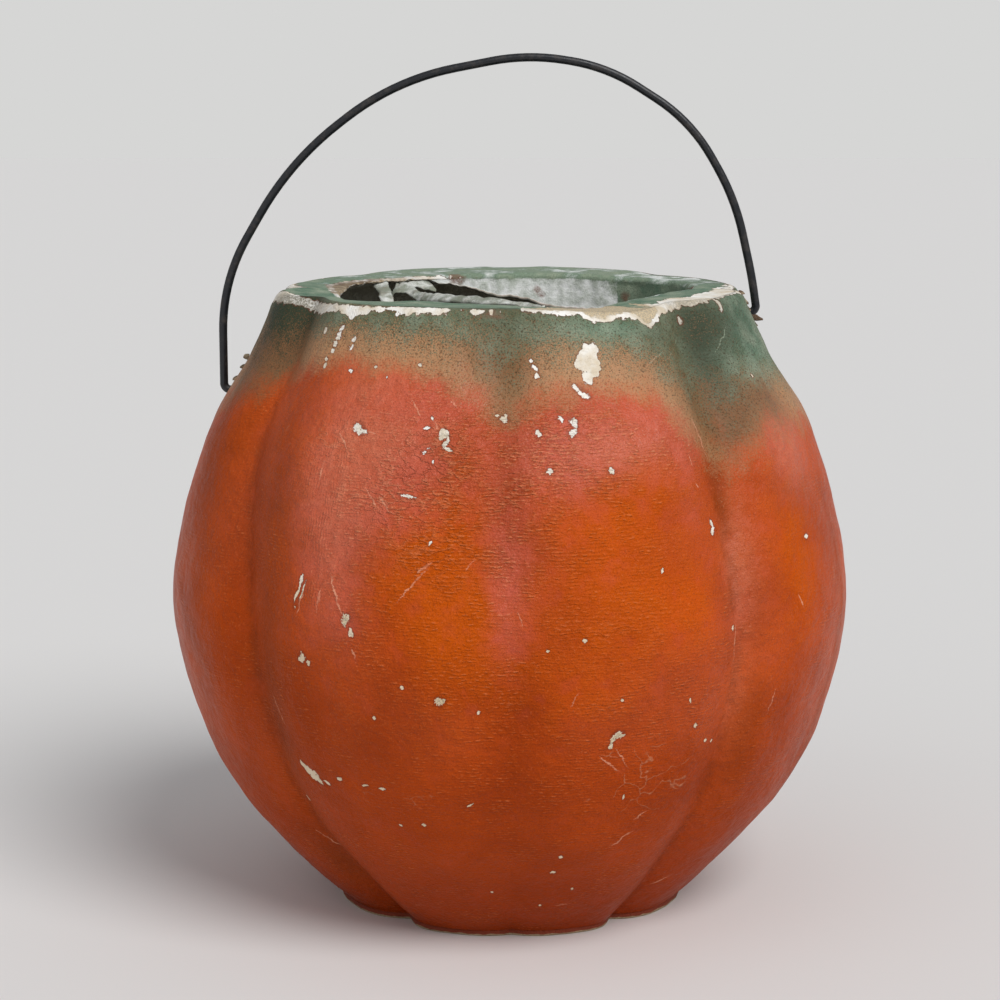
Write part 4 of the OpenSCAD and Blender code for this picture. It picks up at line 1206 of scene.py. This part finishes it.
torn_paper("torn_paper_at_right_hole", [
    ([(45, 1.5, 113.2), (46.4, 1.2, 113), (47.6, 0.9, 112.9), (48.7, 0.6, 112.6)], (0, 0.5, 1),
     (2, 1.5, 1.1, 0.4)),
    ([(45.4, 2.5, 111.9), (46.8, 2, 111.8), (47.8, 1.6, 111.4)], (0, 0.7, 1), (1.6, 1.1, 0.4)),
    ([(44.5, -1, 116.4), (45.2, -1.2, 116.3), (45.7, -1.4, 116)], (0, 0.8, 1), (2, 1.4, 0.5)),
    ([(45, 0, 114.8), (45.7, -0.4, 114.8), (46.2, -0.6, 114.5)], (0, 0.8, 1), (1.8, 1.2, 0.4)),
    ([(46.4, 0, 110), (47.2, -0.2, 110), (47.7, -0.3, 109.6)], (0, 0.8, 1), (2, 1.2, 0.4)),
    ([(44, 1, 117.6), (44.6, 0.8, 117.8), (45.1, 0.5, 117.7)], (0, 1, 0.6), (2, 1.4, 0.4)),
    ([(45.4, 6.6, 112.4), (46.7, 7.2, 112.2), (47.4, 7.8, 111.6)], (0, 0.5, 1), (2, 1.4, 0.5)),
], 0.3, 0.12, {"bare": 3.0, "pulp": 3.0, "hole": 1.6})
torn_paper("torn_paper_at_left_hole", [
    ([(-50.6, -0.5, 105.4), (-51.3, -0.8, 105.7), (-51.7, -1, 105.6)], (0, 0.8, 1), (1.6, 1, 0.3)),
    ([(-52.6, 0, 101.3), (-53.5, -0.3, 101.3), (-53.9, -0.6, 101.1)], (0, 0.8, 1), (1.7, 1, 0.3)),
    ([(-54.4, 1.4, 97.4), (-55.2, 1, 97.2), (-55.7, 0.8, 96.8)], (0, 0.8, 1), (1.4, 0.9, 0.3)),
    ([(-54.7, 3.4, 96.9), (-55.6, 3.6, 96.5), (-56.1, 3.6, 95.8)], (0, 0.8, 1), (1.6, 1, 0.3)),
    ([(-51.6, 0.5, 103.4), (-52.2, 0.3, 103.5), (-52.5, 0.1, 103.4)], (0, 0.8, 1), (1.2, 0.8, 0.3)),
    ([(-54.3, 7, 97.2), (-55.2, 7.4, 96.9), (-55.8, 7.8, 96.3)], (0, 0.5, 1), (2, 1.3, 0.4)),
], 0.3, 0.12, {"bare": 3.0, "pulp": 3.0, "hole": 1.6})

# The base card is a disc of grey board, cut to the foot's lobes and glued under it. The orange
# paint runs down over its edge, and its lower corner is rubbed pale.
CARD_RINGS = 30
CARD_ROUND = 0.35
CARD_INSET = 0.02
card_angle = np.arange(0, 360, 1.0)
card_r = crest_r[0] - furrow(card_angle, CARD_T + 0 * card_angle) - CARD_INSET
card_turn = np.radians(card_angle)
card_round = crest_r[0] * np.stack([np.sin(card_turn), -np.cos(card_turn), 0 * card_turn], axis=1)
card_r = card_r + 0.1 * lumps(card_round, 3, 21)
edge_steps = [(CARD_ROUND, 0), (0.3 * CARD_ROUND, 0.3 * CARD_ROUND), (0, CARD_ROUND), (-0.05, 0.5 * CARD_T),
              (0, CARD_T - 0.04), (0.04, CARD_T)]
share = np.linspace(0, 1, CARD_RINGS, endpoint=False)[1:]
card_rows = [((card_r - CARD_ROUND) * s, 0 * card_r) for s in share]
card_rows += [(card_r - inset, height + 0 * card_r) for inset, height in edge_steps]
card_rows += [((card_r - CARD_ROUND) * s, CARD_T + 0 * card_r) for s in share[::-1]]
card_points = [np.stack([r * np.sin(card_turn), -r * np.cos(card_turn), z], axis=1) for r, z in card_rows]
card_points = np.concatenate([[[0, 0, 0]], *card_points, [[0, 0, CARD_T]]])
ring_size = len(card_angle)
card_faces = []
for j in range(ring_size):
    k = (j + 1) % ring_size
    card_faces.append((0, 1 + k, 1 + j))
    for i in range(len(card_rows) - 1):
        a = 1 + i * ring_size
        card_faces.append((a + j, a + k, a + ring_size + k, a + ring_size + j))
    a = 1 + (len(card_rows) - 1) * ring_size
    card_faces.append((a + j, a + k, len(card_points) - 1))
card_mesh = bpy.data.meshes.new("lobed_base_card")
card_mesh.from_pydata((card_points * MM).tolist(), [], card_faces)
card_mesh.polygons.foreach_set("use_smooth", [True] * len(card_faces))
rim_share = np.zeros(len(card_points))
first_edge = 1 + len(share) * ring_size
rim_share[first_edge : first_edge + len(edge_steps) * ring_size] = 1
card_mesh.attributes.new("edge", "FLOAT", "POINT").data.foreach_set("value", rim_share.astype(np.float32))
base_card = bpy.data.objects.new("lobed_base_card", card_mesh)
bpy.context.scene.collection.objects.link(base_card)

# Grey board: matted fibres, stains from shelves, and orange paint on its edge.
board, board_tree, board_place = bare_finish("cut_grey_board")
board_spots = add(board_tree, "TexNoise", {"Vector": board_place, "Scale": 1 / 9, "Detail": 4.0})
board_fibres = add(board_tree, "TexNoise", {"Vector": board_place, "Scale": 1.3, "Detail": 4.0,
                   "Distortion": 1.5})
board_rub = add(board_tree, "TexNoise", {"Vector": board_place, "Scale": 0.5, "Detail": 4.0})
board_tone = add(board_tree, "Mix", {0: board_spots, 6: linear("#8d7355"), 7: linear("#b29b7a")}, 2,
                 data_type="RGBA")
board_flecks = add(board_tree, "MapRange", {0: board_fibres, 1: 0.5, 2: 0.7, 4: 0.5})
board_tone = add(board_tree, "Mix", {0: board_flecks, 6: board_tone, 7: linear("#cbb899")}, 2,
                 data_type="RGBA")
board_edge = add(board_tree, "Attribute", {}, 2, attribute_name="edge")
board_low = add(board_tree, "SeparateXYZ", {0: board_place}, 2)
board_low = add(board_tree, "Math", {0: board_rub, 1: 0.7, 2: board_low}, operation="MULTIPLY_ADD")
board_low = add(board_tree, "MapRange", {0: board_low, 1: 0.7, 2: 0.85})
board_paint = add(board_tree, "Math", {0: board_edge, 1: board_low}, operation="MULTIPLY")
board_tone = add(board_tree, "Mix", {0: board_paint, 6: board_tone, 7: linear("#7d2f12")}, 2,
                 data_type="RGBA")
board_bump = add(board_tree, "Bump", {"Strength": 0.6, "Distance": MM, "Height": board_fibres})
board_shader = {"Base Color": board_tone, "Roughness": 0.85, "Normal": board_bump}
add(board_tree, "OutputMaterial", {0: add(board_tree, "BsdfPrincipled", board_shader)})
card_mesh.materials.append(board)
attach(base_card, "pail")
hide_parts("base_card")

# Two strips of brown kraft paper, glued over the joints inside.
kraft, kraft_tree, kraft_place = bare_finish("glued_kraft_paper")
kraft_fibres = add(kraft_tree, "TexNoise", {"Vector": kraft_place, "Scale": 0.8, "Detail": 5.0})
kraft_tone = add(kraft_tree, "Mix", {0: kraft_fibres, 6: linear("#7b6247"), 7: linear("#a98d69")}, 2,
                 data_type="RGBA")
kraft_bump = add(kraft_tree, "Bump", {"Strength": 0.5, "Distance": MM, "Height": kraft_fibres})
kraft_shader = {"Base Color": kraft_tone, "Roughness": 0.85, "Normal": kraft_bump}
add(kraft_tree, "OutputMaterial", {0: add(kraft_tree, "BsdfPrincipled", kraft_shader)})
for strip in ("seam_strip_left", "seam_strip_right"):
    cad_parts[strip].data.materials.clear()
    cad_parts[strip].data.materials.append(kraft)

# The bail is one length of soft steel wire, japanned black, bent by hand and sprung into two
# punched holes. The black has a soft shine, and has gone dull and rusty in small places.
japan, japan_tree, wire_place = bare_finish("japanned_soft_steel_wire")
wire_wear = add(japan_tree, "TexNoise", {"Vector": wire_place, "Scale": 0.45, "Detail": 5.0,
                "Roughness": 0.65})
wire_tone = add(japan_tree, "MapRange", {0: wire_wear, 1: 0.5, 2: 0.72})
wire_tone = add(japan_tree, "Mix", {0: wire_tone, 6: linear("#15171c"), 7: linear("#3a3430")}, 2,
                data_type="RGBA")
wire_sheen = add(japan_tree, "MapRange", {0: wire_wear, 1: 0.35, 2: 0.7, 3: 0.28, 4: 0.55})
wire_bump = add(japan_tree, "TexNoise", {"Vector": wire_place, "Scale": 1.1, "Detail": 2.0})
wire_bump = add(japan_tree, "Bump", {"Strength": 0.5, "Distance": 0.1 * MM, "Height": wire_bump})
wire_shader = {"Base Color": wire_tone, "Roughness": wire_sheen, "Normal": wire_bump, "IOR": 1.5}
add(japan_tree, "OutputMaterial", {0: add(japan_tree, "BsdfPrincipled", wire_shader)})
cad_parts["bail"].data.materials.clear()
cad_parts["bail"].data.materials.append(japan)

# The studio: a pale floor under a pale background, one broad lamp from the upper right and a weak
# one from the left.
FLOOR = 3
floor_mesh = bpy.data.meshes.new("floor")
floor_corners = [(-FLOOR, -FLOOR, 0), (FLOOR, -FLOOR, 0), (FLOOR, FLOOR, 0), (-FLOOR, FLOOR, 0)]
floor_mesh.from_pydata(floor_corners, [], [(0, 1, 2, 3)])
floor = bpy.data.objects.new("floor", floor_mesh)
bpy.context.scene.collection.objects.link(floor)
floor_paint = bpy.data.materials.new("matt_white_floor")
floor_paint.use_nodes = True
floor_shader = floor_paint.node_tree.nodes["Principled BSDF"]
floor_shader.inputs["Base Color"].default_value = linear("#e3e1df")
floor_shader.inputs["Roughness"].default_value = 1
floor_shader.inputs["IOR"].default_value = 1.1
floor_mesh.materials.append(floor_paint)


def broad_sun(name, towards, spread, strength):
    """A lamp far away, spread over a wide angle, so that its light is soft and even."""
    data = bpy.data.lights.new(name, "SUN")
    data.angle = math.radians(spread)
    data.energy = strength
    made = bpy.data.objects.new(name, data)
    made.rotation_euler = Vector(towards).to_track_quat("Z", "Y").to_euler()
    bpy.context.scene.collection.objects.link(made)


broad_sun("key", (0.5, -0.66, 0.85), 34, 2.1)
broad_sun("fill", (-0.8, -0.9, 0.5), 70, 0.35)

world = bpy.data.worlds.new("studio")
bpy.context.scene.world = world
world.use_nodes = True
sky = world.node_tree
sky.nodes.clear()
seen = add(sky, "Background", {"Color": linear("#d6d6d5"), "Strength": 1.0})
light = add(sky, "Background", {"Color": linear("#eef1f5"), "Strength": 0.42})
by_camera = add(sky, "LightPath", {}, 0)
add(sky, "OutputWorld", {0: add(sky, "MixShader", {0: by_camera, 1: light, 2: seen})})
bpy.context.scene.view_settings.view_transform = "Standard"
